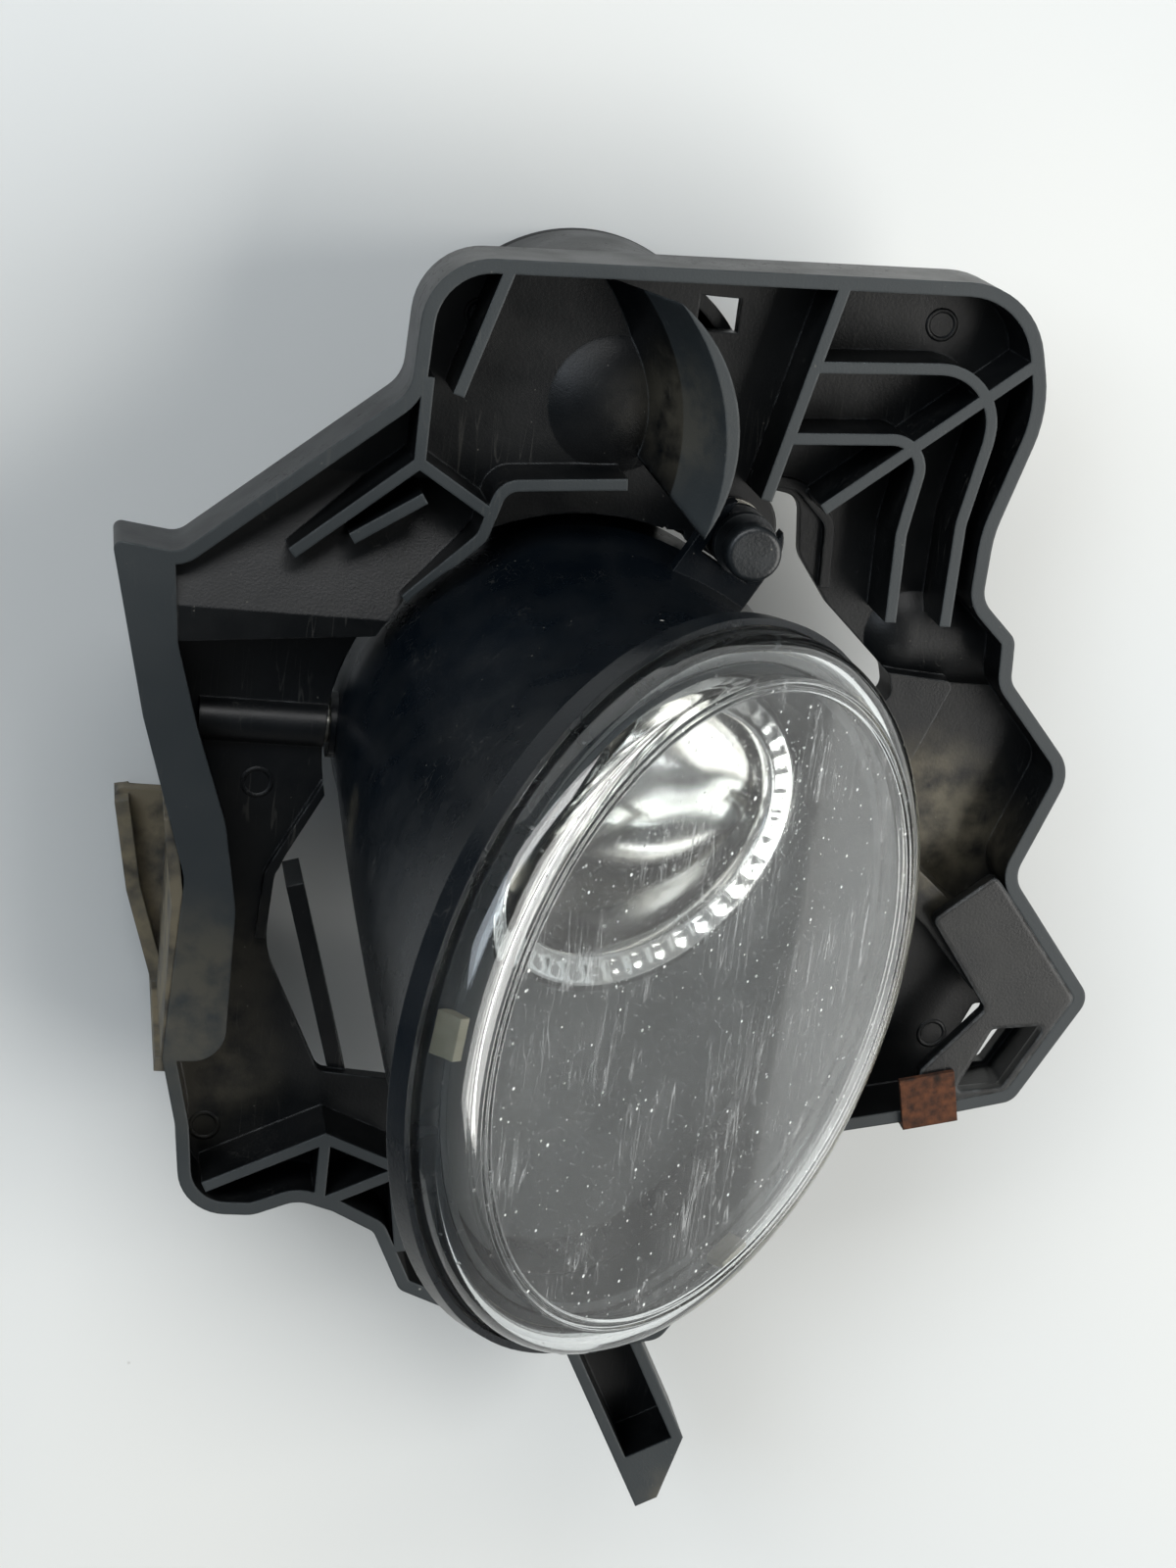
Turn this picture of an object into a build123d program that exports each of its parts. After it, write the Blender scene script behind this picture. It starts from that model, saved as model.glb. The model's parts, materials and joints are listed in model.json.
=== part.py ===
from build123d import *
import math
import os

# Fog light on its moulded carrier bracket, in millimetres.
# The frame: origin at the centre of the upper fixing bore, on the rear plane that the light rests on.
# +Z is the bracket's front side, +X runs across the bracket and +Y towards its upper edge.

# ---- driving dimensions -----------------------------------------------------------------------
bracket_width = 140.0        # far left corner to the window tab
bracket_length = 160.0       # upper edge to the root of the finger
web_thickness = 2.0
web_top = 25.0               # front face of the web above the rear plane
wall_height = 9.0            # perimeter wall and ribs above the web
wall = 1.8                   # perimeter wall
rib = 1.5
shelf_drop = 8.0             # how far the upper left shelf slopes down to the web
shelf_step = 0.4             # shelf below the front edge of the walls

lens_radius = 47.0           # outside of the lens shoulder
lens_wall = 2.2
shoulder_radius = 4.5        # round shoulder between the lens skirt and its front face
skirt_height = 2.0           # straight skirt above the rim plane
lens_centre = (10.5, -63.0, 66.0)
lens_tilt = 40.0             # front face turned from +Z towards +X, degrees
rim_depth = 2.8              # flange of the housing behind the lens
rim_lip = 1.2                # how far the flange stands out past the lens
rim_seat = 4.2               # flange width inside the lens outline
groove_depth = 1.8           # sealing groove in the flange
groove_gap = 0.3
seal_height = 0.3

barrel_radius = 31.5         # rear cylinder of the housing
barrel_centre = (1.5, -46.0)
barrel_floor = 14.0          # outside of the rear wall above the rear plane
barrel_top = 24.0            # where the cylinder ends and the bowl begins
waist_radius = 36.5          # bowl half way to the rim
housing_wall = 2.2

bulb_bore = 12.3             # bayonet neck of the housing
bulb_fit = 0.3               # clearance round the bulb collar and its lugs
neck_drop = 2.0              # neck behind the rear wall
neck_height = 7.2
lug_reach = 2.0              # bayonet lug past the collar
lug_height = 2.0
lug_width = 5.0
lug_turn = 45.0              # from locked to the entry slots
glass_radius = 5.2
glass_length = 24.0
plug_width = 16.0            # connector shroud of the bulb
plug_height = 9.0
plug_reach = 24.0
plug_wall = 1.5
base_bottom = 1.5

reflector_length = 31.0      # half axes of the oval reflector rim
reflector_height = 21.0
reflector_offset = (2.0, 18.0)   # centre of that oval from the lens axis
reflector_depth = 12.0       # rim plane behind the lens rim plane
reflector_flange = 1.4
reflector_band = 4.0         # bright band between the flange and the bowl
reflector_wall = 1.2
reflector_neck = 11.0
bezel_gap = 0.4
bezel_wall = 1.4
bezel_taper = 2.5            # how much the bezel narrows towards the reflector

pin_radius = 2.5             # trunnion pins that the lamp tilts on
pin_clearance = 0.3
pivot_height = 19.5
bush_wall = 1.2
ear_thickness = 4.0
ear_margin = 2.5             # material round the bush
ear_root = 42.0              # how far from the fixing's centre the ears reach into the web
opening_clearance = 1.8      # web opening round the barrel

screw_radius = 2.1           # beam height adjuster
screw_at = (19.5, -13.0)
screw_clearance = 0.3
tab_thickness = 4.0
wheel_radius = 5.0
wheel_height = 6.0
wheel_room = 1.2             # room round the wheel in the boss
collar_thickness = 1.0
nut_radius = 4.2
nut_neck = 3.3
nut_flange = 1.3
nut_play = 0.5
nut_travel = 2.2             # room left for the nut each way
fork_thickness = 2.4
fork_width = 11.0
fork_relief = 0.4            # extra room behind the nut at the closed end of the fork
cap_radius = 3.7
cap_thickness = 3.0

bore_radius = 3.0            # M6 thread of the upper fixing
insert_wall = 1.8
insert_length = 16.0
boss_radius = 21.0
boss_column = 8.0
boss_floor = 2.0             # rear wall of the boss
boss_turns = (15, 75, 135)   # directions of its inner webs
dome_radius = 9.0            # low swelling over the boss, in front of the web
dome_height = 2.2
dome_offset = (2.0, 2.0)
pad_thickness = 2.0
pad_gap = 0.1                # between the rear pad and the insert

web_window = (5.5, 4.5)      # small window in the web beside the boss
web_window_at = (14.0, 15.0)
bead_radius = 3.0            # rounded bead on the left web
bead_length = 18.0
swell_radius = 9.0           # broad swell on the right web
swell_length = 17.0
swell_sink = 6.5
slot_lip = 1.2               # raised lips along the edges of the opening
lip_thickness = 1.4
stay_thickness = 2.4         # stay across the left slot
stay_depth = 9.0
pocket_rise = 4.0            # upper and lower panels beside the V-shaped pocket
pocket_step = 6.5
leg_thickness = 2.2
guide_floor = 3.0            # hooked guide above the rear plane
guide_ledge = 2.0
guide_wall = 1.6
guide_lip = 8.0              # height of the lip that closes the hook
guard_base = 2.8             # thickness of the guard at its foot and at its tip
guard_tip = 1.8
guard_height = 8.0           # guard tip above the walls
guard_lean = 7.0             # how far it leans over from foot to tip
tab_arm = (9.0, 16.0)        # strip of web that carries the adjuster tab

clip_thickness = 0.8         # steel clip on the window tab
clip_width = 8.0
clip_reach = 7.0
clip_shift = 1.5             # from the corner of the tab

finger_width = 10.5
finger_length = 40.0
finger_wall = 1.6
finger_turn = 28.0           # from the length of the bracket, degrees
finger_wear = 48.0           # slant of its worn tip, degrees
finger_end = 2.0             # closed end of the channel

vent_radius = 4.0            # breather cap on the rear wall
vent_height = 6.0
vent_from_axis = (20.0, 12.0)

overlap = 0.5                # how far one moulded feature runs into the next

# ---- derived values ---------------------------------------------------------------------------
wall_top = web_top + wall_height
web_bottom = web_top - web_thickness
wall_stand = wall_top - web_bottom
rim_radius = lens_radius + rim_lip
rim_hole = lens_radius - rim_seat
disc_radius = lens_radius - shoulder_radius
face_height = skirt_height + shoulder_radius
barrel_x, barrel_y = barrel_centre
screw_x, screw_y = screw_at
collar_radius = bulb_bore - bulb_fit
neck_bottom = barrel_floor - neck_drop
neck_top = neck_bottom + neck_height
groove_bottom = barrel_floor + 0.6
lug_bottom = groove_bottom + bulb_fit
opening_radius = barrel_radius + opening_clearance
tab_bottom = web_top - tab_thickness
nut_height = fork_thickness + 2 * nut_play + 2 * nut_flange
nut_bottom = web_top + screw_clearance + collar_thickness + nut_travel
nut_middle = nut_bottom + nut_height / 2
cap_bottom = nut_bottom + nut_height + nut_travel
bush_radius = pin_radius + pin_clearance + bush_wall
pin_start = barrel_radius - housing_wall / 2
pin_end = opening_radius + ear_thickness + 1.0
bezel_back = reflector_flange - reflector_depth


def spread(points):
    """Place points drawn for a 140 by 160 bracket on the chosen width and length."""
    wider = bracket_width / 140.0
    longer = bracket_length / 160.0
    return [(x * wider, y * longer) for x, y in points]


def rounded(corners):
    """Close a face through corners given as x, y and corner radius."""
    points = [(x, y) for x, y, _ in corners]
    radii = [radius for _, _, radius in corners]
    return make_face(FilletPolyline(*points, radius=radii, close=True))


def panel(corners):
    """A rounded face whose corners follow the size of the bracket."""
    points = spread([(x, y) for x, y, _ in corners])
    return rounded([(*point, corner[2]) for point, corner in zip(points, corners)])


def raised(face, bottom, top):
    """Stand a flat face up between two heights."""
    return Pos(0, 0, bottom) * extrude(face, top - bottom)


def strip(points, thickness, bottom, top, bend=3.0):
    """A wall that follows a path across the bracket."""
    path = spread(points)
    line = Polyline(*path) if len(path) < 4 else FilletPolyline(*path, radius=bend)
    return raised(trace(line, thickness), bottom, top)


def disc(centre, radius, bottom, top):
    """An upright cylinder between two heights."""
    return Pos(centre[0], centre[1], bottom) * extrude(Circle(radius), top - bottom)


def ring(centre, outer, inner, bottom, top):
    """An upright tube between two heights."""
    return Pos(centre[0], centre[1], bottom) * extrude(Circle(outer) - Circle(inner), top - bottom)


def across(start, end, radius, height=pivot_height):
    """A cylinder along X through the tilt axis, from start to end."""
    place = Pos((start + end) / 2, barrel_y, height) * Rot(0, 90, 0)
    return place * Cylinder(radius, abs(end - start))


def on_lens(u=0.0, v=0.0, h=0.0):
    """A place on the lens axes: u down its slope, v up the bracket, h out of its face."""
    return Pos(*lens_centre) * Rot(0, lens_tilt, 0) * Pos(u, v, h)


# ---- carrier bracket --------------------------------------------------------------------------
def bracket_outline():
    """Outer line of the carrier, clockwise from the far left corner."""
    return panel([
        (-61.5, -19, 1), (-53, -20, 3), (-26, 3, 5), (-25.5, 20, 9), (53, 24, 11),
        (57.5, 8, 18), (53, -9, 16), (53, -18, 4), (58.5, -23, 2.5), (59, -29, 3), (70, -41, 5.5),
        (64.5, -57, 4), (79, -74.5, 3), (70.5, -91, 3), (57, -94.5, 3), (45, -97, 4),
        (24, -131, 3), (10, -134, 3), (-14.5, -124, 2), (-19, -115, 2), (-25, -112, 3),
        (-30, -110.5, 5), (-36, -113, 5), (-46, -113, 7), (-47.5, -100, 3), (-50, -90, 2),
        (-49, -64, 8), (-56, -42, 8),
    ])


def barrel_opening():
    """Opening in the web for the barrel, with the left slot and the adjuster corner."""
    slot = panel([
        (-28, -40, 3), (-29, -50, 9), (-36.5, -65, 14), (-37, -77, 14), (-28, -95, 2), (10, -98, 10),
        (36, -84, 10), (42, -60, 4), (37, -51, 2), (37, -38, 2), (44.5, -34, 2), (43.5, -30.5, 2),
        (34.5, -22.5, 5), (29.5, -16, 4), (28.5, -8, 3), (18, -6.5, 2), (13, -12, 1.5), (6, -17, 1),
    ])
    return slot + Pos(barrel_x, barrel_y) * Circle(opening_radius)


def ribs():
    """Stiffening ribs, flush with the front edge of the walls."""
    paths = [
        [(28.5, 25), (21.5, -7)],
        [(57, 15.8), (29.3, -7.6)],
        [(-24, 5), (-24, -6), (-14, -12)],
        [(-39, -19), (-24, -6)],
        [(-47, -16), (-31, -2)],
        [(-31.6, -16.5), (-22.8, -10.5)],
        [(-24, -24), (-15, -15), (-13, -8), (3, -6.5)],
        [(-15, 20), (-20, 3)],
        [(-43, -109), (-27, -101), (-17, -105)],
        [(-27, -101), (-27, -111)],
        [(-27, -111), (-17, -106), (-15, -118)],
    ]
    straight = [strip(path, rib, web_top - overlap, wall_top) for path in paths]
    outer = strip([(25, 10.8), (50.5, 12.8), (50, 3), (48.2, -8), (48.4, -22)], rib,
                  web_top - overlap, wall_top, bend=7.5)
    inner = strip([(23, 1.3), (42, 2.8), (40.3, -10), (40.8, -22)], rib,
                  web_top - overlap, wall_top, bend=4.0)
    return straight + [outer, inner]


def left_shelf():
    """Shelf of the upper left corner, level with the walls and sloping down to the web."""
    block = raised(panel([(-60, -20, 1), (-44, -11, 1), (-24, -7, 1), (-14.5, -13, 1), (-24, -24, 1),
                          (-25, -29, 4), (-55, -32, 1)]), web_bottom, wall_top - shelf_step)
    slope = math.degrees(math.atan2(shelf_drop, 16.0))
    front_edge = spread([(-40, -27)])[0]
    cutter = Pos(*front_edge, wall_top - shelf_step) * Rot(-slope, 0, 0) * Pos(0, 30, 15) * Box(90, 60, 30)
    return block - cutter


def web_beads():
    """Rounded bead across the left web and the broad swell across the right web."""
    left, right = spread([(-39.5, -44.5), (55, -26)])
    bead = Pos(*left, web_top - overlap) * Rot(0, 90, 0) * Cylinder(bead_radius, bead_length)
    swell = Pos(*right, web_top - swell_sink) * Rot(0, 90, 0) * Cylinder(swell_radius, swell_length)
    swell += Pos(right[0] - swell_length / 2, right[1], web_top - swell_sink) * Sphere(swell_radius)
    return [bead, swell]


def edge_lips():
    """Raised lips beside the left slot and round the adjuster corner of the opening."""
    paths = [[(-30, -42), (-30, -51), (-37.3, -65.5), (-37.8, -75)],
             [(21, -5.6), (28, -6.4), (32.8, -11), (33.4, -20)]]
    return [strip(path, lip_thickness, web_top - overlap, web_top + slot_lip) for path in paths]


def slot_stay():
    """Stay below the web that crosses the left slot."""
    return strip([(-33.5, -68), (-25, -96)], stay_thickness, web_bottom - stay_depth,
                 web_bottom + overlap)


def right_pocket():
    """Raised panels of the right web that leave a V-shaped pocket between them."""
    upper = raised(panel([(38, -30, 1), (53, -31, 1), (45.5, -51, 1), (41, -44, 1)]),
                   web_top - overlap, web_top + pocket_rise)
    lower = raised(panel([(46, -53, 1), (57, -62, 1), (63, -66, 1), (64, -77, 1), (54, -66, 1),
                          (47, -60, 1)]), web_top - overlap, web_top + pocket_step)
    return [upper, lower]


def tab_plate():
    """Front plate over the right corner of the carrier."""
    plate = panel([(54, -64, 1), (62, -57, 1), (77.5, -74.5, 3), (70, -90, 2), (57, -93.5, 2),
                   (56, -87, 1), (64, -77, 1)])
    return raised(plate, wall_top - web_thickness, wall_top)


def tab_window():
    """Rectangular window through the right tab."""
    return raised(panel([(65.5, -80, 0.8), (73.5, -79, 0.8), (68.5, -89, 0.8), (61.5, -90, 0.8)]),
                  web_bottom - 1, wall_top + 1)


def front_strip():
    """Flat strip down the left edge, level with the front of the walls."""
    band = panel([(-70, -10, 1), (-53.5, -20.5, 1), (-52.3, -32, 6), (-49, -43, 8), (-44.3, -56, 12),
                  (-42, -68, 12), (-41.8, -90, 4.5), (-70, -91, 1)])
    return raised(band, wall_top - web_thickness, wall_top)


def left_loop():
    """Wall behind the left strip, with the ledge and the lip that make it a hooked guide."""
    side = strip([(-51.5, -56), (-49.6, -68), (-49.4, -90)], guide_wall, guide_floor,
                 wall_top - overlap)
    ledge = raised(panel([(-58, -62, 1), (-50, -62, 1), (-46.5, -88, 1), (-50, -92, 1.5),
                          (-54, -80, 4)]), guide_floor, guide_floor + guide_ledge)
    lip = strip([(-57, -63), (-54.5, -76), (-49.8, -90.5)], web_thickness, 0, guide_lip)
    end = strip([(-51, -91), (-49, -91)], web_thickness, 0, wall_top - overlap)
    return side + ledge + lip + end


def leaf_guard():
    """Curved guard blade that stands up beside the adjuster and leans over the barrel."""
    def section(shift, height, thickness, lower_end):
        outer = ThreePointArc((5 + shift, 18.5), (14.3 + shift, 5), (12 + shift, lower_end))
        inner = ThreePointArc((12 + shift, lower_end), (14.3 - thickness + shift, 5),
                              (5 + shift, 18.5))
        return Pos(0, 0, height) * make_face(outer + inner)
    foot = section(-guard_lean, web_top - overlap, guard_base, -4.0)
    tip = section(0.0, wall_top + guard_height, guard_tip, -11.0)
    return loft([foot, tip])


def boss_dome():
    """Low rounded swelling in front of the web over the fixing boss."""
    ball = (dome_radius ** 2 + dome_height ** 2) / (2 * dome_height)
    dome = Pos(*dome_offset, web_top + dome_height - ball) * Sphere(ball)
    return dome & disc(dome_offset, dome_radius, web_bottom, web_top + dome_height)


def finger_channel():
    """Channel section that reaches past the lens at the lower edge, worn at its tip."""
    skin = Box(finger_width, finger_length, wall_stand)
    groove = Pos(0, 2.5 * finger_end, web_thickness) * Box(
        finger_width - 2 * finger_wall, finger_length - 3.5 * finger_end, wall_stand)
    worn = Pos(finger_width / 2, -finger_length / 2, 0) * Rot(0, 0, finger_wear) * Box(
        3 * finger_width, finger_width, 3 * wall_stand)
    place = Pos(*spread([(19.5, -139)])[0], (web_bottom + wall_top) / 2) * Rot(0, 0, finger_turn)
    return place * (skin - groove - worn)


def pivot_ears():
    """Two ears under the web that hold the bushes of the tilt axis, each rooted in the web."""
    bottom = pivot_height - bush_radius - ear_margin
    ears = []
    for side in (-1, 1):
        x = barrel_x + side * (opening_radius + ear_thickness / 2)
        ears.append(Pos(x, barrel_y, (web_top + bottom) / 2) * Box(
            ear_thickness, 2 * (bush_radius + ear_margin), web_top - bottom))
        end = spread([(side * ear_root, 0)])[0][0]
        ears.append(Pos((x + end) / 2, barrel_y, (web_bottom + web_top) / 2) * Box(
            abs(end - x), 2 * (bush_radius + ear_margin), web_thickness))
    return ears


def adjuster_tab():
    """Tab of the web that carries the adjuster screw."""
    pad = disc(screw_at, 3 * screw_radius, tab_bottom, web_top)
    arm = raised(Pos(screw_x - 4, screw_y + 7) * Rectangle(*tab_arm), web_bottom, web_top)
    return [pad, arm]


def moulding():
    """The carrier before its bores: web, walls, ribs and what stands on them."""
    outline = bracket_outline()
    edge = outline - offset(outline, -wall)
    inside = raised(outline, web_bottom, wall_top)
    solid = raised(outline, web_bottom, web_top) + raised(edge, web_bottom, wall_top)
    pieces = ribs() + web_beads() + right_pocket() + edge_lips()
    pieces += [left_shelf(), front_strip(), finger_channel()]
    for piece in pieces:
        solid += piece & inside
    solid -= raised(barrel_opening(), web_bottom - 1, wall_top + 1)
    for piece in pivot_ears() + adjuster_tab() + [slot_stay(), leaf_guard(), boss_dome()]:
        solid += piece
    return solid


def with_openings(solid):
    """Take the bores, the windows and the room of the moving parts out of a bracket piece."""
    solid -= tab_window()
    solid -= disc((0, 0), bore_radius + insert_wall, 0, pad_thickness + insert_length)
    solid -= across(barrel_x - pin_end - 5, barrel_x + pin_end + 5, bush_radius)
    solid -= disc(screw_at, screw_radius + screw_clearance, 0, web_top + 1)
    solid -= disc(barrel_centre, opening_radius, barrel_floor - 3, barrel_top)
    solid -= loft(bowl_sections(opening_clearance))
    solid -= on_lens(0, 0, -rim_depth - 3) * extrude(Circle(rim_radius + 3), 60)
    return solid - raised(Pos(*web_window_at) * Rectangle(*web_window), web_bottom - 1, wall_top)


def carrier_bracket():
    """The moulded carrier: web, perimeter walls and ribs."""
    return with_openings(carrier)


def fixing_boss():
    """Drum behind the web that carries the upper fixing, with a closed column inside."""
    floor = pad_thickness + boss_floor
    solid = disc((0, 0), boss_radius, pad_thickness, web_bottom)
    solid -= disc((0, 0), boss_radius - wall, floor, web_bottom)
    for turn in boss_turns:
        solid += raised(Rot(0, 0, turn) * Rectangle(2 * boss_radius - wall, rib), floor, web_bottom)
    solid += disc((0, 0), boss_column, floor, web_bottom)
    solid -= disc(screw_at, wheel_radius + wheel_room, 0, tab_bottom)
    return with_openings(solid - carrier)


def window_tab():
    """Plate of the right tab with its rectangular window."""
    return with_openings(tab_plate() - carrier)


def tab_leg():
    """Angle section behind the right tab that reaches the rear plane."""
    leg = strip([(48, -85.5), (54, -85.5), (54, -72)], leg_thickness, 0, web_bottom)
    return with_openings(leg - carrier)


def left_guide():
    """Hooked guide behind the left strip."""
    return with_openings(left_loop() - carrier)


def lower_finger():
    """The finger outside the carrier's walls."""
    outside = raised(bracket_outline(), web_bottom - 1, wall_top + 1)
    return with_openings(finger_channel() - outside)


def fixing_insert():
    """Threaded insert in the boss column, open at the rear plane side."""
    return ring((0, 0), bore_radius + insert_wall, bore_radius, 0, pad_thickness + insert_length)


def rear_pad():
    """Rubber pad on the boss that lies against the body."""
    return ring((0, 0), boss_radius, bore_radius + insert_wall + pad_gap, 0, pad_thickness)


def retaining_clip():
    """Folded spring steel clip that grips the corner of the window tab."""
    corner, left, right = spread([(57, -94.5), (45, -97), (70.5, -91)])
    slope = math.degrees(math.atan2(right[1] - left[1], right[0] - left[0]))
    leaf = Rectangle(clip_width, clip_reach)
    place = Pos(*corner) * Rot(0, 0, slope) * Pos(clip_shift, 0, 0)
    top = raised(Pos(0, clip_reach / 2) * leaf, wall_top, wall_top + clip_thickness)
    bottom = raised(Pos(0, clip_reach / 2) * leaf, web_bottom - clip_thickness, web_bottom)
    back = raised(Pos(0, -clip_thickness / 2) * Rectangle(clip_width, clip_thickness),
                  web_bottom - clip_thickness, wall_top + clip_thickness)
    return place * (top + bottom + back)


def pivot_bushes():
    """Bushes of the tilt axis, one in each ear."""
    inner = pin_radius + pin_clearance
    bushes = []
    for side in (-1, 1):
        start = barrel_x + side * opening_radius
        end = start + side * ear_thickness
        bushes.append(across(start, end, bush_radius) - across(start, end, inner))
    return Compound(bushes)


# ---- adjuster ---------------------------------------------------------------------------------
def adjuster_screw():
    """Adjuster screw with its thrust collar behind the tab."""
    start = tab_bottom - screw_clearance
    shank = disc(screw_at, screw_radius, start - wheel_height - 1, cap_bottom + cap_thickness - 1)
    collar = disc(screw_at, 2 * screw_radius, start - collar_thickness, start)
    return shank + collar


def adjuster_wheel():
    """Notched wheel that turns the screw from behind."""
    top = tab_bottom - screw_clearance - collar_thickness
    wheel = disc(screw_at, wheel_radius, top - wheel_height + 1, top)
    wheel -= disc(screw_at, screw_radius, top - wheel_height, top + 1)
    for turn in range(0, 360, 30):
        notch = Pos(screw_x, screw_y, 0) * Rot(0, 0, turn) * Pos(wheel_radius + 0.5, 0, 0)
        wheel -= notch * disc((0, 0), 1.0, top - wheel_height, top + 1)
    return wheel


def adjuster_clip():
    """Retaining ring on the screw in front of the tab."""
    bottom = web_top + screw_clearance
    return ring(screw_at, 2 * screw_radius, screw_radius, bottom, bottom + collar_thickness)


def adjuster_cap():
    """Round end cap of the screw, in front of the nut."""
    cap = disc(screw_at, cap_radius, cap_bottom, cap_bottom + cap_thickness)
    cap = fillet(cap.edges().group_by(Axis.Z)[-1], 0.8)
    return cap - disc(screw_at, screw_radius, cap_bottom - 1, cap_bottom + cap_thickness - 1)


def adjuster_nut():
    """Grooved nut that carries the fork of the housing up and down."""
    top = nut_bottom + nut_height
    solid = disc(screw_at, nut_radius, nut_bottom, top)
    solid -= ring(screw_at, nut_radius + 1, nut_neck, nut_bottom + nut_flange, top - nut_flange)
    return solid - disc(screw_at, screw_radius + screw_clearance, nut_bottom - 1, top + 1)


# ---- lamp -------------------------------------------------------------------------------------
def bowl_sections(grow):
    """Cross-sections of the housing bowl, from the barrel to the rim, grown by an amount."""
    low = Pos(barrel_x, barrel_y, barrel_top) * Circle(barrel_radius + grow)
    middle = (Pos((barrel_x + lens_centre[0]) / 2 - 1, (barrel_y + lens_centre[1]) / 2, 43)
              * Rot(0, lens_tilt * 0.55, 0) * Circle(waist_radius + grow))
    high = on_lens(0, 0, -rim_depth) * Circle(rim_hole + housing_wall + grow)
    return [low, middle, high]


def bulb_passage():
    """Stepped bore for the bulb: neck, lug groove and the slots that the lugs enter by."""
    solid = disc(barrel_centre, bulb_bore, neck_bottom - 1, neck_top + 1)
    solid += disc(barrel_centre, bulb_bore + lug_reach, groove_bottom,
                  groove_bottom + lug_height + 2 * bulb_fit)
    for step in range(3):
        slot = Pos(bulb_bore, 0) * Rectangle(2 * lug_reach, lug_width + 1)
        turn = Pos(barrel_x, barrel_y, neck_bottom - 1) * Rot(0, 0, lug_turn + 120 * step)
        solid += turn * extrude(slot, groove_bottom - neck_bottom + 2)
    return solid


def adjuster_fork():
    """Forked lug on the housing that sits in the groove of the adjuster nut."""
    direction = math.degrees(math.atan2(screw_y - barrel_y, screw_x - barrel_x))
    reach = math.hypot(screw_x - barrel_x, screw_y - barrel_y)
    inner = barrel_radius - 2.5
    gap = 2 * (nut_neck + nut_play)
    lug = Pos((inner + reach) / 2, 0, 0) * Box(reach - inner, fork_width, fork_thickness)
    lug += Pos(reach, 0, 0) * Cylinder(fork_width / 2, fork_thickness)
    slot = Pos(reach + gap / 2 - fork_relief, 0, 0) * Box(2 * gap, gap, 2 * fork_thickness)
    return Pos(barrel_x, barrel_y, nut_middle) * Rot(0, 0, direction) * (lug - slot)


def lamp_housing():
    """Black housing: rear barrel with the bayonet neck, skewed bowl and lens flange."""
    solid = loft(bowl_sections(0.0)) + disc(barrel_centre, barrel_radius, barrel_floor, barrel_top)
    solid += on_lens(0, 0, -rim_depth) * extrude(Circle(rim_radius), rim_depth)
    inner = barrel_radius - housing_wall
    solid -= loft(bowl_sections(-housing_wall))
    solid -= disc(barrel_centre, inner, barrel_floor + housing_wall, barrel_top)
    solid -= on_lens(0, 0, -rim_depth) * extrude(Circle(rim_hole), rim_depth + 1)
    groove = Circle(lens_radius + groove_gap) - Circle(lens_radius - lens_wall - groove_gap)
    solid -= on_lens(0, 0, -groove_depth) * extrude(groove, groove_depth + 1)
    solid += disc(barrel_centre, bulb_bore + lug_reach + 3, neck_bottom, neck_top)
    solid -= bulb_passage()
    fork = adjuster_fork() - loft(bowl_sections(-housing_wall))
    solid += fork
    for side in (-1, 1):
        solid += across(barrel_x + side * (barrel_radius - 2),
                        barrel_x + side * (opening_radius - 1), pin_radius + 2)
        solid -= across(barrel_x + side * pin_start, barrel_x + side * pin_end, pin_radius)
    return solid


def pivot_pins():
    """Trunnion pins pressed into both sides of the barrel."""
    return Compound([across(barrel_x + side * pin_start, barrel_x + side * pin_end, pin_radius)
                     for side in (-1, 1)])


def fog_lens():
    """Clear lens: flat front face, round shoulder and short skirt."""
    foot = seal_height - groove_depth

    def profile(shrink):
        radius = lens_radius - shrink
        corner = shoulder_radius - shrink
        bend = corner * math.sin(math.radians(45))
        top = skirt_height + corner
        bottom = Line((0, foot), (radius, foot))
        side = Line((radius, foot), (radius, skirt_height))
        arc = ThreePointArc((radius, skirt_height),
                            (radius - corner + bend, skirt_height + bend), (radius - corner, top))
        face = Line((radius - corner, top), (0, top))
        axis = Line((0, top), (0, foot))
        return make_face(bottom + side + arc + face + axis)

    shell = revolve(Plane.XZ * (profile(0.0) - profile(lens_wall)), Axis.Z)
    bead = ring((0, 0), disc_radius + 0.4, disc_radius - 0.4, face_height - 0.3, face_height + 0.3)
    return on_lens() * (shell + bead)


def lens_seal():
    """Sealing bead in the groove of the flange, under the lens skirt."""
    return on_lens() * ring((0, 0), lens_radius, lens_radius - lens_wall,
                            -groove_depth, seal_height - groove_depth)


def lens_locators():
    """Pale locating blocks on the flange, inside the lens skirt."""
    seat = lens_radius - lens_wall - groove_gap
    depth = seat - rim_hole - 0.4
    blocks = []
    for turn in (172, 292, 52):
        place = on_lens() * Rot(0, 0, turn) * Pos(seat - depth / 2 - 0.2, 0, 1.4)
        blocks.append(place * Box(depth, 5.0, 2.8))
    return Compound(blocks)


def inner_bezel():
    """Dark mask inside the lens, with the oval opening for the reflector."""
    outer = rim_hole - bezel_gap
    top = -bezel_gap
    solid = loft([Pos(0, 0, bezel_back) * Circle(outer - bezel_taper), Pos(0, 0, top) * Circle(outer)])
    solid -= loft([Pos(0, 0, bezel_back + bezel_wall) * Circle(outer - bezel_taper - bezel_wall),
                   Pos(0, 0, top + 0.01) * Circle(outer - bezel_wall)])
    grown = bezel_gap - reflector_flange
    oval = Ellipse(reflector_length + grown, reflector_height + grown)
    solid -= Pos(*reflector_offset, bezel_back - 1) * extrude(oval, reflector_depth)
    room = loft(bowl_sections(-housing_wall - bezel_gap))
    room += on_lens(0, 0, -rim_depth) * extrude(Circle(outer), rim_depth)
    return (on_lens() * solid) & room


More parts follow.
